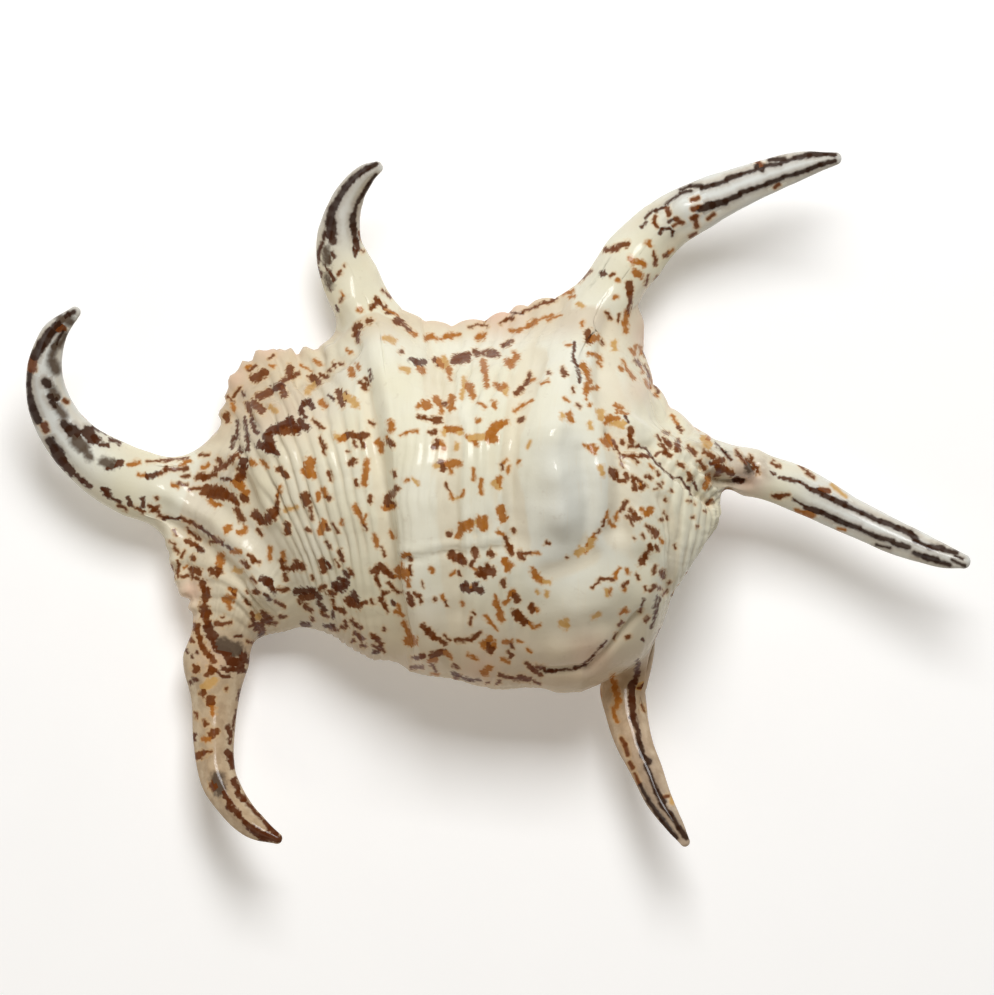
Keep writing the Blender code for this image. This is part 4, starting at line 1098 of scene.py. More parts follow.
@dataclass(frozen=True)
class SmallRelief:
    """Cords, wrinkles, dents, scallops and knobs, as one height along the surface's normal at each point."""

    coarse: Grain = Grain(SEED)
    fine: Grain = Grain(SEED + 1)
    cord_pitch: float = 0.40
    cord_gain: float = 1.55
    cord_wander: tuple = ((0.16, 9.0), (0.07, 4.0))
    cord_patches: tuple = (0.7, 6.0)
    dent: float = 0.2
    dent_cells: tuple = (4.2, 1.9)
    wrinkle: float = 0.08
    wrinkle_cells: tuple = (0.7, 5.5)
    scallop: float = 1.2
    scallop_pitch: float = 0.62
    horn_band: float = 0.35
    horn_ripple: tuple = (0.07, 2.4)
    horn_dents: float = 0.45

    def cords(self, station: np.ndarray, place: np.ndarray, points: np.ndarray) -> np.ndarray:
        """Cords: round ribs with narrow grooves, which is a sine without its sign, to a power below 1.

        Their phase runs with the station, at a pitch and a strength that wander with a noise. A second,
        weaker wave makes every other cord differ. They fade at the lip and at the foot.

        Args:
            station: Station of each point.
            place: Place round the loop.
            points: Places in mm.

        Returns:
            Height in mm.
        """
        (far, wide), (near, narrow) = self.cord_wander
        wander = far * self.coarse.at(points, wide) + near * self.fine.at(points, narrow)
        phase = 2 * np.pi * (station + wander) / self.cord_pitch
        wave = np.abs(np.sin(phase / 2)) ** 0.75 - 0.7
        second = 0.25 * (np.abs(np.sin(phase + 0.65)) ** 0.8 - 0.68)
        patchy, cell = self.cord_patches
        strength = self.cord_gain * Curve(CORD_STRENGTH).at(station)
        strength = strength * (1 + patchy * self.coarse.at(points, cell))
        across = ease(0.0, 1.6, place) * (1 - 0.55 * ease(6.5, 9.0, place)) * (1 - ease(11.0, 13.0, place))
        return strength * across * (wave + second)

    def wrinkles(self, station: np.ndarray, place: np.ndarray) -> np.ndarray:
        """Growth lines along the lip: smooth noise stretched far along the stations and short across them.

        Args:
            station: Station of each point.
            place: Place round the loop.

        Returns:
            Height in mm.
        """
        along, across = self.wrinkle_cells
        spot = np.stack([station * along, place * across, 0 * place], -1)
        lines = 1 - 2 * np.abs(self.fine.at(spot, 1.0))
        wide = self.coarse.at(spot * (0.8, 0.32, 1), 1.0)
        return (self.wrinkle * lines + 1.4 * self.wrinkle * wide) * (1 - ease(12, 14, place))

    def dents(self, points: np.ndarray) -> np.ndarray:
        """Hammered dents: a noise of large cells, less one of small cells without its sign, raised to 1.5.

        Args:
            points: Places in mm.

        Returns:
            Height in mm.
        """
        large = self.coarse.at(points, self.dent_cells[0])
        small = self.fine.at(points, self.dent_cells[1])
        return self.dent * large - 0.45 * self.dent * np.abs(small) ** 1.5

    def lip_edge(self, station: np.ndarray, place: np.ndarray, points: np.ndarray) -> np.ndarray:
        """Scallops in the bays between the horns: the root of a sine along the lip's rounded edge.

        Args:
            station: Station of each point.
            place: Place round the loop.
            points: Places in mm.

        Returns:
            Height in mm.
        """
        wandering = station + 0.2 * self.coarse.at(points, 7.0)
        wave = np.sqrt(np.abs(np.sin(np.pi * wandering / self.scallop_pitch))) - 0.72
        edge = hill(0.6, 1.3, place) * (place > -1.5)
        return self.scallop * Curve(BAYS).at(station) * wave * edge

    def strokes(self, pixels: np.ndarray, above: np.ndarray) -> np.ndarray:
        """Knobs, ridges and steps placed in the view from above: a bell curve across each short line.

        Args:
            pixels: Where each point comes in the photograph.
            above: Whether it is on the side that the photograph shows.

        Returns:
            Height in mm.
        """
        height = np.zeros(len(pixels))
        for tall, width, *line in RIDGES:
            line = np.array(line, float)
            inside = (pixels > line.min(0) - 3 * width) & (pixels < line.max(0) + 3 * width)
            near = np.flatnonzero(above & inside.all(1))
            gap = np.full(len(near), np.inf)
            for start, end in zip(line, line[1:] if len(line) > 1 else line):
                run = end - start
                share = np.clip((pixels[near] - start) @ run / max(run @ run, 1e-9), 0, 1)
                gap = np.minimum(gap, np.linalg.norm(pixels[near] - start - share[:, None] * run, axis=1))
            height[near] += tall * hill(0, width, gap)
        return height

    def horns(self, along: np.ndarray, turn: np.ndarray, points: np.ndarray) -> np.ndarray:
        """A raised band along the top of each horn between two shallow valleys (bell curves), and ripples.

        Args:
            along: Share of the way from root to tip.
            turn: Turn round the horn in radians from its top.
            points: Places in mm.

        Returns:
            Height in mm.
        """
        profile = hill(0, 0.42, wrapped(turn)) - 0.7 * hill(0.95, 0.35, np.abs(wrapped(turn)))
        fade = ease(-0.3, 0.25, along) * (1 - ease(0.8, 1.0, along))
        ripple, cell = self.horn_ripple
        return self.horn_band * profile * fade + ripple * self.fine.at(points, cell)

    def at(self, points: np.ndarray, normal: np.ndarray, known: dict, pixels: np.ndarray) -> np.ndarray:
        """All of the small relief.

        Args:
            points: Places in mm.
            normal: Unit normal at each.
            known: Station, place round the loop, horn, share along it and turn of each point.
            pixels: Where each comes in the photograph.

        Returns:
            Height along the normal in mm.
        """
        station, place = known["station"], known["place"]
        body = known["horn"] < 0
        above = normal[:, 2] > 0.02
        outside = np.where(body, (place < 12.5) & (place > -1.5), True)
        tip_fade = ease(0.5, 1.5, station)
        on_body = (
            self.cords(station, place, points)
            + self.wrinkles(station, place) * tip_fade
            + self.lip_edge(station, place, points)
        )
        on_horn = self.horns(known["along"], known["turn"], points)
        height = np.where(body, on_body, on_horn) + self.dents(points) * np.where(body, 1, self.horn_dents)
        return height * outside * ease(-0.9, -0.2, normal[:, 2]) + self.strokes(pixels, above & outside)


@dataclass(frozen=True)
class Markings:
    """The brown marks: straight strokes with round ends, each of one tone, placed in the view from above."""

    tables: tuple
    edge: float = 0.3
    width_unit: float = MARK_UNIT
    chunk: int = 4096
    unmarked: tuple = (99.0, 99.0, 0.0, 1.01)

    def table(self) -> tuple:
        """All the strokes in one list, each widened by its table's share and by the edge.

        Returns:
            Tones, half widths, starts and ends, as arrays.
        """
        rows = np.array([
            (tone.number, width * swell + self.edge, *stroke)
            for swell, tones in self.tables
            for tone, widths in tones.items()
            for width, strokes in widths.items()
            for stroke in strokes
        ], float)
        return rows[:, 0], rows[:, 1], rows[:, 2:4], rows[:, 2:4] + rows[:, 4:6]

    def nearest(self, pixels: np.ndarray) -> np.ndarray:
        """The two strokes whose edges come nearest.

        Args:
            pixels: Places in the photograph.

        Returns:
            The numbers of the two strokes for each place, nearest first.
        """
        _, half_width, start, end = self.table()
        line = end - start
        square = np.maximum((line**2).sum(1), 1e-9)
        result = np.zeros((len(pixels), 2), int)
        for first in range(0, len(pixels), self.chunk):
            gap = pixels[first : first + self.chunk, None, :] - start
            share = np.clip((gap * line).sum(2) / square, 0, 1)
            distance = np.linalg.norm(gap - share[..., None] * line, axis=2) - half_width
            two = np.argpartition(distance, 1, axis=1)[:, :2]
            own = np.take_along_axis(distance, two, 1)
            result[first : first + self.chunk] = np.take_along_axis(two, np.argsort(own, 1), 1)
        return result

    def measure(self, corners: np.ndarray, stroke: np.ndarray, seen: np.ndarray) -> np.ndarray:
        """A stroke's own measure at the corners of faces: pixels along it and across it from its middle.

        A face that carries no mark gets a place far outside a short stroke instead.

        Args:
            corners: Place of every corner in the photograph.
            stroke: Number of the stroke that each corner's face reads.
            seen: Whether the face is one that carries marks.

        Returns:
            Along, across, half length, and the tone plus the half width over its unit, for each corner.
        """
        tone, half_width, start, end = self.table()
        middle, line = (start + end) / 2, end - start
        length = np.linalg.norm(line, axis=1)
        line = np.where(length[:, None] > 1e-6, line / np.maximum(length, 1e-6)[:, None], (1.0, 0.0))
        gap = corners - middle[stroke]
        along = (gap * line[stroke]).sum(1)
        across = gap[:, 0] * line[stroke, 1] - gap[:, 1] * line[stroke, 0]
        code = tone[stroke] + half_width[stroke] / self.width_unit
        result = np.stack([along, across, length[stroke] / 2, code], 1)
        result[~seen] = self.unmarked
        return result


@dataclass
class Shell:
    """The shell: skin, small relief, the attributes that its finish reads, and the object itself."""

    horns: tuple
    canal: Horn
    markings: Markings
    plan: BodyPlan = BodyPlan()
    relief: SmallRelief = SmallRelief()
    photograph: Photograph = Photograph()
    last_station: int = LAST_STATION
    loops: int = 13
    spans: tuple = ROUND_SPANS
    smoothing: int = 60
    smooth_step: float = 0.6
    smooth_reach: float = 3.2
    root_reach: float = 24.0
    rim_blush: float = 0.35

    def places(self) -> np.ndarray:
        """Places round a loop: each span is divided evenly, the horns' roots most finely."""
        parts = [np.linspace(first, last, steps + 1)[:-1] for first, last, steps in self.spans]
        return np.concatenate(parts)

    def root_ring(self, first: int, last: int, low: int, high: int) -> tuple:
        """Grid positions round a rectangular hole, in order, each with the step that leads into it.

        Args:
            first: First row of the hole.
            last: Last row.
            low: First column.
            high: Last column.

        Returns:
            Positions and steps, each as (points, row and column).
        """
        below = [((row, low), (0, 1)) for row in range(first, last)]
        right = [((last, column), (-1, 0)) for column in range(low, high)]
        above = [((row, high), (0, -1)) for row in range(last, first, -1)]
        left = [((first, column), (1, 0)) for column in range(high, low, -1)]
        ring = below + right + above + left
        steps = dict(ring)
        steps[first, low], steps[last, low] = (1, 1), (-1, 1)
        steps[last, high], steps[first, high] = (-1, -1), (1, -1)
        positions = [position for position, _ in ring]
        return np.array(positions), np.array([steps[position] for position in positions])

    def grow(self, skin: Skin, horn: Horn, index: int, ring: np.ndarray, numbers: np.ndarray,
             inward: np.ndarray, fields: tuple, turned: bool = False) -> None:
        """Adds one horn to the skin, from a ring of the body to its closed tip.

        Args:
            skin: The skin.
            horn: The horn.
            index: Its number.
            ring: Points of the body that it grows from.
            numbers: Their numbers in the skin.
            inward: The body's direction into the horn at each of them.
            fields: Station and place of each of them.
            turned: Whether the ring runs the other way round.
        """
        rows, tip, run, turn = horn.rings(ring, inward)
        station, place = fields
        own = {"station": station, "place": place, "along": run[:, None], "turn": turn}
        chain = [numbers, *skin.add(rows, horn=float(index), **own)]
        for one, two in zip(chain, chain[1:]):
            skin.strip(*((two, one) if turned else (one, two)))
        end = skin.add(tip[None], station=station.mean(), place=place.mean(), horn=float(index), along=1.0)
        skin.fan(chain[-1][::-1] if turned else chain[-1], end[0])

    def skin(self) -> tuple:
        """The stitched surface before the small relief: the loft with a hole for each horn, and the horns.

        Returns:
            Points in mm, quads, triangles and the known fields.
        """
        station = np.linspace(0, self.last_station, self.last_station * self.loops + 1)[1:]
        place = self.places()
        count = len(place)
        grid = self.plan.surface(station, place)
        skin = Skin()
        tip = skin.add(np.array([[*LIP_ROW[0][1:], SPIRE_CENTRE_Z]]), place=7.0)[0]
        numbers = skin.add(grid, station=station[:, None], place=place[None, :])
        skin.fan(numbers[0], tip)

        holes = np.zeros(numbers.shape, bool)
        for index, horn in enumerate(self.horns):
            first, last, low, high = horn.root
            first, last = first * self.loops - 1, last * self.loops - 1
            holes[first:last, low:high] = True
            position, step = self.root_ring(first, last, low, high)
            row, column = position[:, 0], position[:, 1] % count
            before = position - step
            inward = grid[row, column] - grid[before[:, 0], before[:, 1] % count]
            inward = inward / np.linalg.norm(inward, axis=1, keepdims=True)
            fields = (station[row], place[column])
            self.grow(skin, horn, index, grid[row, column], numbers[row, column], inward, fields)

        after = np.roll(np.arange(count), -1)
        quads = np.stack([numbers[:-1], numbers[1:], numbers[1:][:, after], numbers[:-1][:, after]], -1)
        skin.quads.append(quads[~holes[:-1]])
        inward = grid[-1] - grid[-2]
        inward = inward / np.linalg.norm(inward, axis=1, keepdims=True)
        fields = (station[-1] + 0 * place, place)
        self.grow(skin, self.canal, len(self.horns), grid[-1], numbers[-1], inward, fields, turned=True)
        return skin.gather()

    def smooth(self, points: np.ndarray, quads: np.ndarray, tris: np.ndarray, known: dict) -> np.ndarray:
        """Draws each point near a horn's root towards the mean of its neighbours, over and over.

        Args:
            points: Places in mm.
            quads: Faces of four corners.
            tris: Faces of three corners.
            known: Fields of the points.

        Returns:
            The smoothed places.
        """
        weight = np.zeros(len(points))
        body = known["horn"] < 0
        for index in range(len(self.horns) + 1):
            edge = points[(known["horn"] == index) & (known["along"] < -0.87)][::2]
            near = np.flatnonzero(np.linalg.norm(points - edge.mean(0), axis=1) < self.root_reach)
            gap = np.linalg.norm(points[near, None] - edge[None], axis=2).min(1)
            weight[near] = np.maximum(weight[near], hill(0, self.smooth_reach, gap))
        fold = body & (known["place"] > 14) & (known["place"] < 26)
        weight[fold] = 0
        one = np.concatenate([quads.T.reshape(-1), tris.T.reshape(-1)])
        two = np.concatenate([np.roll(quads, -1, 1).T.reshape(-1), np.roll(tris, -1, 1).T.reshape(-1)])
        total = np.bincount(one, minlength=len(points)) + np.bincount(two, minlength=len(points))
        for _ in range(self.smoothing):
            mean = np.stack([np.bincount(one, points[two, axis], len(points))
                             + np.bincount(two, points[one, axis], len(points)) for axis in range(3)], 1)
            mean = mean / total[:, None]
            points = points + (self.smooth_step * weight)[:, None] * (mean - points)
        return points

    def normals(self, points: np.ndarray, quads: np.ndarray, tris: np.ndarray) -> np.ndarray:
        """Unit normal of each point: its faces' cross products of two diagonals or two edges, added up.

        Args:
            points: Places in mm.
            quads: Faces of four corners.
            tris: Faces of three corners.

        Returns:
            The normals, as (points, xyz).
        """
        flat = np.cross(points[quads[:, 2]] - points[quads[:, 0]], points[quads[:, 3]] - points[quads[:, 1]])
        small = np.cross(points[tris[:, 1]] - points[tris[:, 0]], points[tris[:, 2]] - points[tris[:, 0]])
        total = np.zeros_like(points)
        for faces, cross in ((quads, flat), (tris, small)):
            for axis in range(3):
                for corner in faces.T:
                    total[:, axis] += np.bincount(corner, cross[:, axis], len(points))
        return total / np.maximum(np.linalg.norm(total, axis=1, keepdims=True), 1e-12)

    def build(self) -> bpy.types.Object:
        """Builds the object: skin, smoothing, small relief, rest plane, and what the finish reads.

        Returns:
            The object, with its place in its mesh.
        """
        points, quads, tris, known = self.skin()
        points = self.smooth(points, quads, tris, known)
        normal = self.normals(points, quads, tris)
        if (points[:, 2] * normal[:, 2]).mean() < 0:
            quads, tris, normal = quads[:, ::-1], tris[:, ::-1], -normal
        pixels = self.photograph.pixels(points)
        grown = self.relief.at(points, normal, known, pixels)
        points = points + normal * grown[:, None]
        points[:, 2] = np.maximum(points[:, 2], 0)
        placed = (points - (*CENTRE, 0)) * MM

        mesh = bpy.data.meshes.new("shell_skin")
        mesh.from_pydata(placed.tolist(), [], quads.tolist() + tris.tolist())
        mesh.shade_smooth()
        self.write_marks(mesh, points, normal, quads, tris, known)
        self.write_zones(mesh, points, normal, grown, known)
        self.write_uv(mesh, known)
        return link(mesh)

    def write_marks(self, mesh: bpy.types.Mesh, points: np.ndarray, normal: np.ndarray, quads: np.ndarray,
                    tris: np.ndarray, known: dict) -> None:
        """Writes the two nearest strokes' own measures at every corner.

        Args:
            mesh: The mesh.
            points: Places in mm.
            normal: Unit normal at each.
            quads: Faces of four corners.
            tris: Faces of three corners.
            known: Fields of the points.
        """
        corners = np.concatenate([quads.reshape(-1), tris.reshape(-1)])
        face = np.repeat(np.arange(len(quads) + len(tris)), [4] * len(quads) + [3] * len(tris))
        pixels = self.photograph.pixels(points)
        centre = np.concatenate([pixels[quads].mean(1), pixels[tris].mean(1)])
        up = np.concatenate([normal[quads, 2].mean(1), normal[tris, 2].mean(1)])
        inner = (known["horn"] < 0) & (known["place"] > 13.5)
        hidden = np.concatenate([inner[quads].any(1), inner[tris].any(1)])
        seen = (up > 0.06) & ~hidden
        chosen = np.zeros((len(centre), 2), int)
        chosen[seen] = self.markings.nearest(centre[seen])
        for name, which in (("mark_a", 0), ("mark_b", 1)):
            measure = self.markings.measure(pixels[corners], chosen[face, which], seen[face])
            layer = mesh.attributes.new(name, "FLOAT_COLOR", "CORNER")
            layer.data.foreach_set("color", measure.astype(np.float32).reshape(-1))

    def tint(self, setting: tuple, at: np.ndarray) -> np.ndarray:
        """A tint that grows over the photograph: its strength times the smooth step from low to high."""
        strength, low, high = setting
        return strength * ease(low, high, at)

    def patches(self, table: tuple, pixels: np.ndarray) -> np.ndarray:
        """Round patches in the photograph: each a bell curve of the distance from its middle, all added up.

        Args:
            table: Strength, column and row of the middle, and reach in pixels of each patch.
            pixels: Where each point comes in the photograph.

        Returns:
            The sum at each point.
        """
        total = np.zeros(len(pixels))
        for strength, *middle, reach in table:
            total += strength * hill(0, reach, np.linalg.norm(pixels - middle, axis=1))
        return total

    def write_zones(self, mesh: bpy.types.Mesh, points: np.ndarray, normal: np.ndarray, grown: np.ndarray,
                    known: dict) -> None:
        """Writes what the finish reads at each point, each a share from 0 to 1 (the relief about 0.5).

        Args:
            mesh: The mesh.
            points: Places in mm.
            normal: Unit normal at each.
            grown: Height of the small relief in mm.
            known: Fields of the points.
        """
        station, place, horn, along = known["station"], known["place"], known["horn"], known["along"]
        body = horn < 0
        pixels = self.photograph.pixels(points)
        column, row = pixels[:, 0], pixels[:, 1]
        upward = normal[:, 2]
        low_horn = (horn == SPIRE_HORN) | (horn == CANAL_HORN)
        under = np.where(body, ease(11.0, 13.5, place) + ease(-0.8, -1.9, place), 0)
        below = np.abs(wrapped(known["turn"])) - np.pi
        channel = np.where(body, 0, hill(0, 0.5, below) * ease(-0.3, 0.1, along))
        edge = np.where(body, hill(-0.4, 1.0, place), 0) * Curve(BAYS).at(station)
        cool = hill(0, 1, np.linalg.norm((pixels - COOL_MIDDLE) / COOL_REACH, axis=1))
        zones = {
            "porcelain": under + channel,
            "depth": np.where(body, ease(15.5, 19, place) * (1 - ease(23.5, 25.5, place)), 0),
            "blush": self.patches(BLUSHES, pixels) + self.rim_blush * edge,
            # wash: brown washes over gnarled places, and on the two lower horns a wash that is partly
            # painted shade
            "wash_and_shade": self.patches(WASHES, pixels) + low_horn * self.tint(LOW_HORN_WASH_AND_SHADE, row),
            # warm: painted shade below the rim, stronger on the two lower horns, and warm tints on the left
            # side, the left shoulder and the upper lip
            "warm": (
                self.tint(PAINTED_SHADE_BELOW, row) * np.where(low_horn, PAINTED_SHADE_LOW_HORN_GAIN, 1)
                + self.tint(WARM_LEFT_SIDE, column) * (horn != LEFT_HORN)
                + self.tint(WARM_LEFT_SHOULDER, column) * ease(*WARM_LEFT_SHOULDER_ROWS, row) * body
                + self.tint(WARM_UPPER_LIP, row) * body
            ),
            "hidden": 1 - ease(0.0, 0.12, upward),
            "polish": ease(0.6, 0.93, upward),
            "raised": 0.5 + grown,
            "cool": cool * ease(0.1, 0.5, upward),
            "horn_tip": np.where(body | (horn == CANAL_HORN), 0, ease(0.05, 0.45, along)),
        }
        for name, values in zones.items():
            layer = mesh.attributes.new(name, "FLOAT", "POINT")
            layer.data.foreach_set("value", np.clip(values, 0, 1).astype(np.float32))

    def write_uv(self, mesh: bpy.types.Mesh, known: dict) -> None:
        """Writes a UV map that follows the cords: u by station and along a horn, v round them.

        A face that crosses the seam, where v falls back from 1 to 0, gets v past 1 instead.

        Args:
            mesh: The mesh.
            known: Fields of the points.
        """
        body = known["horn"] < 0
        u = known["station"] / self.last_station + np.where(body, 0, 0.35 * known["along"])
        v = np.where(body, known["place"] / self.plan.guides, known["turn"] / (2 * np.pi)) % 1.0
        corner = np.zeros(len(mesh.loops), int)
        mesh.loops.foreach_get("vertex_index", corner)
        start = np.zeros(len(mesh.polygons), int)
        mesh.polygons.foreach_get("loop_start", start)
        own = v[corner]
        high = np.maximum.reduceat(own, start)
        low = np.minimum.reduceat(own, start)
        size = np.diff(np.append(start, len(corner)))
        wraps = np.repeat(high - low > 0.5, size)
        own = np.where(wraps & (own < 0.5), own + 1, own)
        layer = mesh.uv_layers.new(name="cords")
        layer.data.foreach_set("uv", np.stack([u[corner], own], 1).astype(np.float32).reshape(-1))


class Signal:
    """One output of a shader graph, usable in arithmetic with numbers and with other signals."""

    def __init__(self, graph: "Graph", socket: bpy.types.NodeSocket) -> None:
        """Wraps an output socket of the graph.

        Args:
            graph: The graph.
            socket: The output.
        """
        self.graph = graph
        self.socket = socket

    def __add__(self, other: "Signal | float") -> "Signal":
        """The sum."""
        return self.graph.maths("ADD", self, other)

    __radd__ = __add__

    def __sub__(self, other: "Signal | float") -> "Signal":
        """The difference."""
        return self.graph.maths("SUBTRACT", self, other)

    def __rsub__(self, other: "Signal | float") -> "Signal":
        """The difference, with the signal taken away."""
        return self.graph.maths("SUBTRACT", other, self)

    def __mul__(self, other: "Signal | float") -> "Signal":
        """The product."""
        return self.graph.maths("MULTIPLY", self, other)

    __rmul__ = __mul__

    def __pow__(self, other: float) -> "Signal":
        """The power."""
        return self.graph.maths("POWER", self, other)

    def __abs__(self) -> "Signal":
        """The size without its sign."""
        return self.graph.maths("ABSOLUTE", self)

    def most(self, other: "Signal | float") -> "Signal":
        """The greater of the two."""
        return self.graph.maths("MAXIMUM", self, other)

    def least(self, other: "Signal | float") -> "Signal":
        """The lesser of the two."""
        return self.graph.maths("MINIMUM", self, other)

    def rises(self, low: "Signal | float", high: "Signal | float") -> "Signal":
        """Smooth step from 0 at low to 1 at high."""
        inputs = {"Value": self, "From Min": low, "From Max": high}
        return self.graph.node("ShaderNodeMapRange", {"interpolation_type": "SMOOTHSTEP"}, inputs, "Result")


class Graph:
    """The nodes of one material, ending in its Principled shader."""

    def __init__(self, name: str) -> None:
        """Makes the material and finds its shader.

        Args:
            name: Name of the material.
        """
        self.material = bpy.data.materials.new(name)
        self.material.use_nodes = True
        self.nodes = self.material.node_tree.nodes
        self.links = self.material.node_tree.links
        self.shader = self.nodes["Principled BSDF"]

    def feed(self, socket: bpy.types.NodeSocket, value: "Signal | float | tuple") -> None:
        """Links a signal to an input, or sets the input to a constant.

        Args:
            socket: The input.
            value: The signal or the constant.
        """
        if isinstance(value, Signal):
            self.links.new(value.socket, socket)
        else:
            socket.default_value = value

    def constant(self, name: str, value: "float | tuple") -> None:
        """Sets a constant on the shader's own input of that name."""
        self.shader.inputs[name].default_value = value

    def node(self, kind: str, settings: dict, inputs: dict, output: str) -> Signal:
        """Adds a node.

        Args:
            kind: The node's type.
            settings: Its own settings, which are set first.
            inputs: Values or signals by the input's identifier or name.
            output: Identifier or name of the output that is wanted.

        Returns:
            That output.
        """
        made = self.nodes.new(kind)
        for name, value in settings.items():
            setattr(made, name, value)
        for name, value in inputs.items():
            found = [socket for socket in made.inputs if socket.identifier == name]
            self.feed(found[0] if found else made.inputs[name], value)
        found = [socket for socket in made.outputs if socket.identifier == output]
        return Signal(self, found[0] if found else made.outputs[output])

    def maths(self, operation: str, *values: "Signal | float") -> Signal:
        """Adds one Math node.

        Args:
            operation: What it works out.
            values: Its numbers or signals, in order.

        Returns:
            Its result.
        """
        made = self.nodes.new("ShaderNodeMath")
        made.operation = operation
        for socket, value in zip(made.inputs, values):
            self.feed(socket, value)
        return Signal(self, made.outputs[0])

    def field(self, name: str, output: str = "Fac") -> Signal:
        """Reads an attribute of the mesh."""
        return self.node("ShaderNodeAttribute", {"attribute_name": name}, {}, output)

    def split(self, vector: Signal) -> tuple:
        """The three parts of a vector, each as a signal."""
        made = self.nodes.new("ShaderNodeSeparateXYZ")
        self.links.new(vector.socket, made.inputs[0])
        return tuple(Signal(self, socket) for socket in made.outputs)

    def stretch(self, place: Signal, by: tuple) -> Signal:
        """A place with each of its three parts multiplied by a number of its own."""
        return self.node("ShaderNodeVectorMath", {"operation": "MULTIPLY"}, {0: place, 1: by}, "Vector")

    def mix(self, share: Signal, one: "Signal | tuple", two: "Signal | tuple") -> Signal:
        """Mixes two colours: the first where the share is 0, the second where it is 1."""
        inputs = {"Factor_Float": share, "A_Color": one, "B_Color": two}
        return self.node("ShaderNodeMix", {"data_type": "RGBA"}, inputs, "Result_Color")

    def noise(self, place: Signal, scale: float, detail: float = 2.0, rough: float = 0.5) -> Signal:
        """Smooth noise from 0 to 1.

        Args:
            place: Where it is read.
            scale: Cells to a metre, or to a unit of the UV map.
            detail: How many finer noises are added.
            rough: How strong they are.

        Returns:
            The noise.
        """
        inputs = {"Vector": place, "Scale": scale, "Detail": detail, "Roughness": rough}
        return self.node("ShaderNodeTexNoise", {}, inputs, "Fac")

    def bump(self, height: Signal, strength: float, distance: float,
             normal: "Signal | None" = None) -> Signal:
        """Bends the normal by a height.

        Args:
            height: The height, from 0 to 1.
            strength: How much of the bend is taken.
            distance: The height in metres that 1 stands for.
            normal: A normal that is bent already.

        Returns:
            The normal.
        """
        inputs = {"Height": height, "Strength": strength, "Distance": distance}
        if normal is not None:
            inputs["Normal"] = normal
        return self.node("ShaderNodeBump", {}, inputs, "Normal")


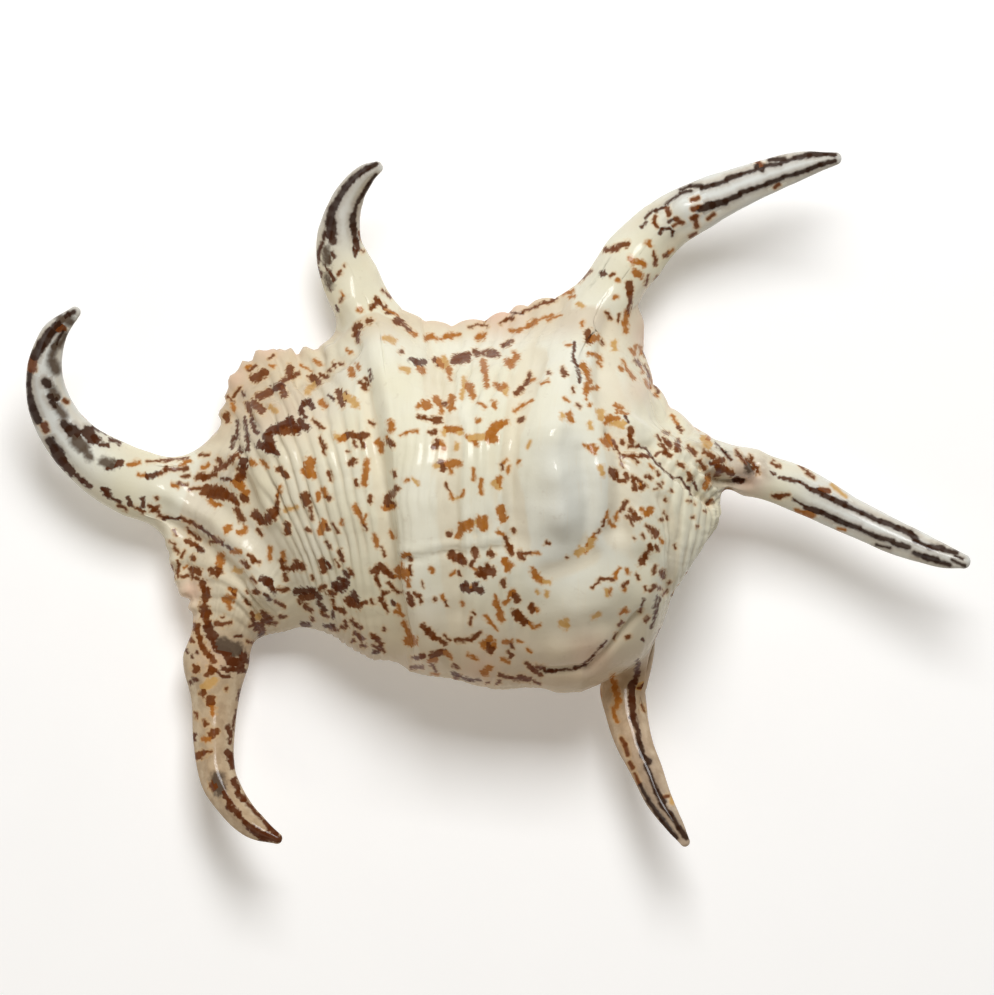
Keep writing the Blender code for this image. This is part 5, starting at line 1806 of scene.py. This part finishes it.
@dataclass(frozen=True)
class ShellFinish:
    """Colours and gloss of the shell. Colours are in linear light."""

    cream: tuple = (0.78, 0.74, 0.56, 1.0)
    ivory: tuple = (0.82, 0.80, 0.67, 1.0)
    # Warm tone of the growth lines, also used as painted shade in the hollows of the relief.
    warm: tuple = (0.74, 0.65, 0.48, 1.0)
    cool: tuple = (0.70, 0.712, 0.668, 1.0)
    blush: tuple = (0.78, 0.48, 0.36, 1.0)
    glaze: tuple = (0.84, 0.74, 0.62, 1.0)
    throat: tuple = (0.50, 0.19, 0.10, 1.0)
    # Dirt, and on the two lower horns painted shade as well.
    grime_and_shade: tuple = (0.31, 0.20, 0.115, 1.0)
    halo: tuple = (0.68, 0.44, 0.21, 1.0)
    pale_tan: tuple = (0.64, 0.42, 0.17, 1.0)
    pale_orange: tuple = (0.46, 0.18, 0.03, 1.0)
    russet: tuple = (0.20, 0.055, 0.008, 1.0)
    umber: tuple = (0.098, 0.023, 0.005, 1.0)
    dusk: tuple = (0.33, 0.25, 0.18, 1.0)
    shade: tuple = (0.53, 0.36, 0.21, 1.0)
    frost: tuple = (0.72, 0.75, 0.75, 1.0)
    # Cells to a metre of the noises.
    wide_cells: float = 45.0
    small_cells: float = 420.0
    tiny_cells: float = 1500.0
    warp_cells: float = 1250.0
    sway_cells: float = 700.0
    tint_cells: float = 900.0
    dash_cells: float = 150.0
    dash_tone_cells: float = 90.0
    # Cells of the growth lines along and across, and threads of the throat, each to a unit of the UV map.
    streak_cells: tuple = (260.0, 34.0, 1.0)
    threads: float = 46.0
    # How far noise moves and bends a mark's edge, and how soft the edge is, in pixels of the photograph.
    warp_px: float = 5.0
    sway_px: float = 5.0
    edge_px: float = 1.3
    smoke_edge_px: float = 2.5
    halo_px: float = 3.2
    dusk_px: float = 6.5
    horn_calm: float = 0.6
    cover: float = 0.95
    # Gloss.
    roughness: float = 0.25
    least_roughness: float = 0.1
    coat: float = 0.06
    polish_coat: float = 0.3
    porcelain_coat: float = 0.5
    coat_roughness: float = 0.13
    specular: float = 0.045
    # Heights in metres that the fine and the small bump stand for.
    fine_bump: float = 0.00006
    small_bump: float = 0.00012

    def mark(self, graph: Graph, name: str, warp: Signal, sway: tuple) -> tuple:
        """One of the two strokes nearest to a point, as its distance and its tone.

        The distance is that to a straight stroke with round ends, in pixels of the photograph: the length of
        (what the place along it is beyond its half length, the place across it), less the half width. Noise
        warps it, more so on a wide stroke.

        Args:
            graph: The graph.
            name: The attribute that holds the stroke's own measure.
            warp: Noise that moves the edge in and out.
            sway: Noise that bends the stroke along and across, in pixels.

        Returns:
            Distance from the edge, and tone from 1 to 5.
        """
        along, across, half = graph.split(graph.field(name, "Vector"))
        code = graph.field(name, "Alpha")
        tone = graph.maths("FLOOR", code)
        width = (code - tone) * MARK_UNIT
        along, across = along + sway[0], across + sway[1]
        over = (abs(along) - half).most(0.0)
        distance = (over * over + across * across) ** 0.5 - width
        return distance + warp * (0.3 + width.least(5.0) * 0.24), tone

    def darker(self, tone: Signal, kind: Tone) -> Signal:
        """1 where a mark's tone is this one or comes after it, and 0 elsewhere."""
        return tone.rises(kind.number - 0.6, kind.number - 0.4)

    def stain(self, graph: Graph, tone: Signal, tint: Signal, tip: Signal) -> Signal:
        """Colour of a mark by its tone, varied by noise; the darkest is redder on the body than on horns.

        Args:
            graph: The graph.
            tone: Tone from 1 to 5.
            tint: Noise from 0 to 1.
            tip: 0 on the body and 1 on the horns.

        Returns:
            The colour.
        """
        tan = graph.mix(tint, self.pale_tan, Tone.TAN.value)
        orange = graph.mix(tint, self.pale_orange, Tone.ORANGE.value)
        colour = graph.mix(self.darker(tone, Tone.ORANGE), tan, orange)
        chestnut = graph.mix(tint, self.russet, Tone.CHESTNUT.value)
        colour = graph.mix(self.darker(tone, Tone.CHESTNUT), colour, chestnut)
        darkest = graph.mix(tip, self.umber, Tone.BLACKISH.value)
        colour = graph.mix(self.darker(tone, Tone.BLACKISH), colour, darkest)
        return graph.mix(self.darker(tone, Tone.SMOKE), colour, Tone.SMOKE.value)

    def material(self) -> bpy.types.Material:
        """Builds the material of the whole skin: ground, marks, the guessed dashes, and the glaze below.

        Returns:
            The material.
        """
        graph = Graph("shell_surface")
        place = graph.node("ShaderNodeTexCoord", {}, {}, "Object")
        cords = graph.node("ShaderNodeUVMap", {"uv_map": "cords"}, {}, "UV")
        porcelain, raised = graph.field("porcelain"), graph.field("raised")
        wide = graph.noise(place, self.wide_cells, 3.0)
        small = graph.noise(place, self.small_cells, 3.0, 0.6)
        streaks = self.streaks(graph, cords)

        body = self.ground(graph, wide, small, streaks)
        body, near = self.marks(graph, place, body, small)
        body = self.hidden_marks(graph, place, body, graph.field("hidden") * (1.0 - porcelain))
        glaze = graph.mix(wide.rises(0.3, 0.75), self.glaze, self.ivory)
        throat = graph.mix(self.lirae(graph, cords), self.throat, self.glaze)
        glaze = graph.mix(graph.field("depth"), glaze, throat)
        graph.feed(graph.shader.inputs["Base Color"], graph.mix(porcelain, body, glaze))

        rough = self.roughness + (small - 0.5) * 0.16 - porcelain * 0.16 + (0.5 - raised) * 0.22
        graph.feed(graph.shader.inputs["Roughness"], rough.most(self.least_roughness))
        coat = self.coat + (small - 0.5) * 0.05
        coat = coat + self.polish_coat * graph.field("polish") + self.porcelain_coat * porcelain
        graph.feed(graph.shader.inputs["Coat Weight"], coat)
        graph.constant("Coat Roughness", self.coat_roughness)
        graph.constant("Specular IOR Level", self.specular)
        tiny = graph.noise(place, self.tiny_cells, 2.0)
        grainy = graph.bump(tiny + 0.6 * streaks, 0.35, self.fine_bump)
        normal = graph.bump(small + 0.4 * near.rises(-1.0, 1.0), 0.5, self.small_bump, grainy)
        graph.feed(graph.shader.inputs["Normal"], normal)
        return graph.material

    def ground(self, graph: Graph, wide: Signal, small: Signal, streaks: Signal) -> Signal:
        """Colour between the marks: cream and ivory, with cool, warm, blushing and dirty places.

        The lower side, the two lower horns and the hollows of the relief carry painted shade.

        Args:
            graph: The graph.
            wide: Noise of wide patches, from 0 to 1.
            small: Noise of small patches.
            streaks: The growth lines.

        Returns:
            The colour.
        """
        # Painted shade: the hollows of the relief darker and warmer
        hollow_shade = (0.55 - graph.field("raised")).rises(0.0, 0.45)
        # Brown washes; on the two lower horns partly painted shade, darker towards the bottom
        dirt_and_shade = graph.field("wash_and_shade") * (0.2 + 0.6 * small.rises(0.35, 0.65))
        body = graph.mix(wide.rises(0.35, 0.7), self.cream, self.ivory)
        body = graph.mix(graph.field("cool") * (0.25 + 0.75 * wide), body, self.cool)
        body = graph.mix(graph.field("horn_tip") * 0.8, body, self.frost)
        # Painted shade from the warm field: the lower side and the two lower horns darker and browner; warm
        # tints elsewhere
        body = graph.mix(graph.field("warm") * (0.45 + 0.75 * wide), body, self.shade)
        body = graph.mix(hollow_shade * 0.5, body, self.warm)
        body = graph.mix(streaks.rises(0.55, 0.75) * 0.22, body, self.warm)
        body = graph.mix(graph.field("blush") * (0.4 + 0.8 * wide), body, self.blush)
        body = graph.mix(small.rises(0.62, 0.72) * 0.10, body, self.grime_and_shade)
        return graph.mix(dirt_and_shade, body, self.grime_and_shade)

    def marks(self, graph: Graph, place: Signal, body: Signal, small: Signal) -> tuple:
        """Lays the brown marks over the ground, with a light halo and, on the horns, a dusky one.

        Args:
            graph: The graph.
            place: Where the noises are read.
            body: Colour of the ground.
            small: Noise of small patches, from 0 to 1.

        Returns:
            The colour, and the distance to the nearest mark's edge in pixels of the photograph.
        """
        tip = graph.field("horn_tip")
        calm = 1.0 - self.horn_calm * tip
        warp = (graph.noise(place, self.warp_cells, 1.0, 0.45) - 0.5) * self.warp_px * calm
        bend = {"Vector": place, "Scale": self.sway_cells, "Detail": 1.0}
        red, green, _ = graph.split(graph.node("ShaderNodeTexNoise", {}, bend, "Color"))
        sway = ((red - 0.5) * self.sway_px * calm, (green - 0.5) * self.sway_px * calm)
        tint = graph.noise(place, self.tint_cells, 1.0)
        first, tone = self.mark(graph, "mark_a", warp, sway)
        second, second_tone = self.mark(graph, "mark_b", warp, sway)
        near = first.least(second)
        black, smoke = self.darker(tone, Tone.BLACKISH), self.darker(tone, Tone.SMOKE)

        halo = (1.0 - near.rises(-0.5, self.halo_px)) * (0.30 + 0.5 * tint) * (1.0 - black)
        body = graph.mix(halo, body, self.halo)
        dusk = (1.0 - near.rises(-0.5, self.dusk_px)) * black * (1.0 - smoke)
        body = graph.mix(dusk * tip * (0.15 + 0.75 * small), body, self.dusk)
        for distance, own in ((second, second_tone), (first, tone)):
            soft = self.edge_px + self.darker(own, Tone.SMOKE) * self.smoke_edge_px
            covered = (1.0 - distance.rises(0.0 - soft, soft)) * self.cover
            body = graph.mix(covered, body, self.stain(graph, own, tint, tip))
        return body, near

    def streaks(self, graph: Graph, cords: Signal) -> Signal:
        """Fine growth lines: noise on the UV map, squeezed across the cords and stretched along them."""
        return graph.noise(graph.stretch(cords, self.streak_cells), 1.0, 3.0, 0.6)

    def lirae(self, graph: Graph, cords: Signal) -> Signal:
        """White threads inside the aperture: a sine over the stations, sharpened by a smooth step."""
        u, _, _ = graph.split(cords)
        return graph.maths("SINE", u * (2 * math.pi * self.threads)).rises(0.15, 0.95)

    def hidden_marks(self, graph: Graph, place: Signal, body: Signal, hidden: Signal) -> Signal:
        """Dashes on the sides that the photograph doesn't show: a stretched noise above a threshold.

        Args:
            graph: The graph.
            place: Where the noises are read.
            body: Colour of the shell so far.
            hidden: 1 on those sides and 0 elsewhere.

        Returns:
            The colour.
        """
        dashes = graph.noise(graph.stretch(place, (1.0, 2.2, 1.0)), self.dash_cells, 2.0, 0.55)
        tone = graph.noise(place, self.dash_tone_cells, 1.0)
        light = graph.mix(dashes.rises(0.55, 0.59) * hidden * 0.8, body, Tone.TAN.value)
        stain = graph.mix(tone.rises(0.45, 0.55), Tone.ORANGE.value, Tone.CHESTNUT.value)
        return graph.mix(dashes.rises(0.595, 0.615) * hidden, light, stain)


@dataclass(frozen=True)
class Floor:
    """The pale table under the shell."""

    half: float = 1.6
    colour: tuple = (0.93, 0.93, 0.93, 1.0)
    speck: tuple = (0.91, 0.91, 0.91, 1.0)
    speck_cells: float = 60.0
    roughness: float = 0.85
    glow_colour: tuple = (1.0, 1.0, 1.0, 1.0)
    glow: float = 0.17

    def build(self) -> bpy.types.Object:
        """Builds the table as one large face.

        Returns:
            The table.
        """
        mesh = bpy.data.meshes.new("floor")
        h = self.half
        mesh.from_pydata([(-h, -h, 0), (h, -h, 0), (h, h, 0), (-h, h, 0)], [], [(0, 1, 2, 3)])
        floor = link(mesh)
        graph = Graph("floor_surface")
        place = graph.node("ShaderNodeTexCoord", {}, {}, "Object")
        colour = graph.mix(graph.noise(place, self.speck_cells), self.colour, self.speck)
        graph.feed(graph.shader.inputs["Base Color"], colour)
        graph.constant("Roughness", self.roughness)
        graph.constant("Emission Color", self.glow_colour)
        graph.constant("Emission Strength", self.glow)
        mesh.materials.append(graph.material)
        return floor


@dataclass(frozen=True)
class Lamp:
    """One large soft light that points at the shell, its azimuth and elevation in degrees."""

    name: str
    azimuth: float
    elevation: float
    distance: float
    size: float
    power: float
    colour: tuple

    def build(self) -> bpy.types.Object:
        """Builds the lamp; azimuth is turned from +X towards +Y.

        Returns:
            The lamp.
        """
        turn, lift = math.radians(self.azimuth), math.radians(self.elevation)
        data = bpy.data.lights.new(self.name, "AREA")
        data.size = self.size
        data.energy = self.power
        data.color = self.colour
        lamp = link(data)
        level = self.distance * math.cos(lift)
        lamp.location = (level * math.cos(turn), level * math.sin(turn), self.distance * math.sin(lift))
        lamp.rotation_euler = (math.pi / 2 - lift, 0.0, turn + math.pi / 2)
        return lamp


LAMPS = (
    Lamp("key", 84.0, 57.0, 1.1, 0.46, 10.4, (0.98, 0.99, 1.0)),
    Lamp("fill", 225.0, 38.0, 1.2, 0.9, 2.2, (1.0, 0.88, 0.72)),
)


@dataclass(frozen=True)
class StudioLight:
    """The soft light of the studio: a cool key from beyond the lip, a weak warm fill, a dim warm room."""

    lamps: tuple = LAMPS
    room: tuple = (1.0, 0.89, 0.74, 1.0)
    room_strength: float = 0.15

    def build(self) -> None:
        """Builds the lamps and the room."""
        for lamp in self.lamps:
            lamp.build()
        world = bpy.data.worlds.new("room")
        world.use_nodes = True
        background = world.node_tree.nodes["Background"]
        background.inputs["Color"].default_value = self.room
        background.inputs["Strength"].default_value = self.room_strength
        bpy.context.scene.world = world
        bpy.context.scene.view_settings.view_transform = "Standard"


@dataclass(frozen=True)
class PhotoCamera:
    """The camera, straight above the shell."""

    photograph: Photograph = Photograph()
    sensor: float = 36.0
    clip_end: float = 10.0

    def build(self) -> bpy.types.Object:
        """Builds the camera over the pixel in the middle of the photograph, looking down.

        Returns:
            The camera.
        """
        level = self.photograph.scale(np.zeros(1))[0]
        data = bpy.data.cameras.new("camera")
        data.sensor_width = self.sensor
        data.clip_end = self.clip_end
        data.lens = self.sensor * self.photograph.height / (max(PHOTO_SIZE) * level)
        column, row = self.photograph.centre
        x = (PHOTO_SIZE[0] / 2 - column) * level - CENTRE[0]
        y = (row - PHOTO_SIZE[1] / 2) * level - CENTRE[1]
        camera = link(data)
        camera.location = (x * MM, y * MM, self.photograph.height * MM)
        bpy.context.scene.camera = camera
        return camera


def main() -> None:
    """Builds the shell in place of the modelled solid, then the table, the light and the camera."""
    logging.basicConfig(level=logging.INFO, format="%(message)s")
    horns = tuple(Horn(**plan) for plan in (HORN_A, HORN_B, HORN_C, HORN_D, HORN_E))
    shell = Shell(horns, Horn(**HORN_F), Markings(MARKS)).build()
    shell.data.materials.append(ShellFinish().material())
    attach(shell, "root")
    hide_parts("shell")
    logging.info("shell_skin: %d faces", len(shell.data.polygons))
    Floor().build()
    logging.info("floor: one face")
    StudioLight().build()
    logging.info("studio light: %d lamps", len(LAMPS))
    PhotoCamera().build()
    bpy.context.view_layer.update()


if __name__ == "__main__":
    main()
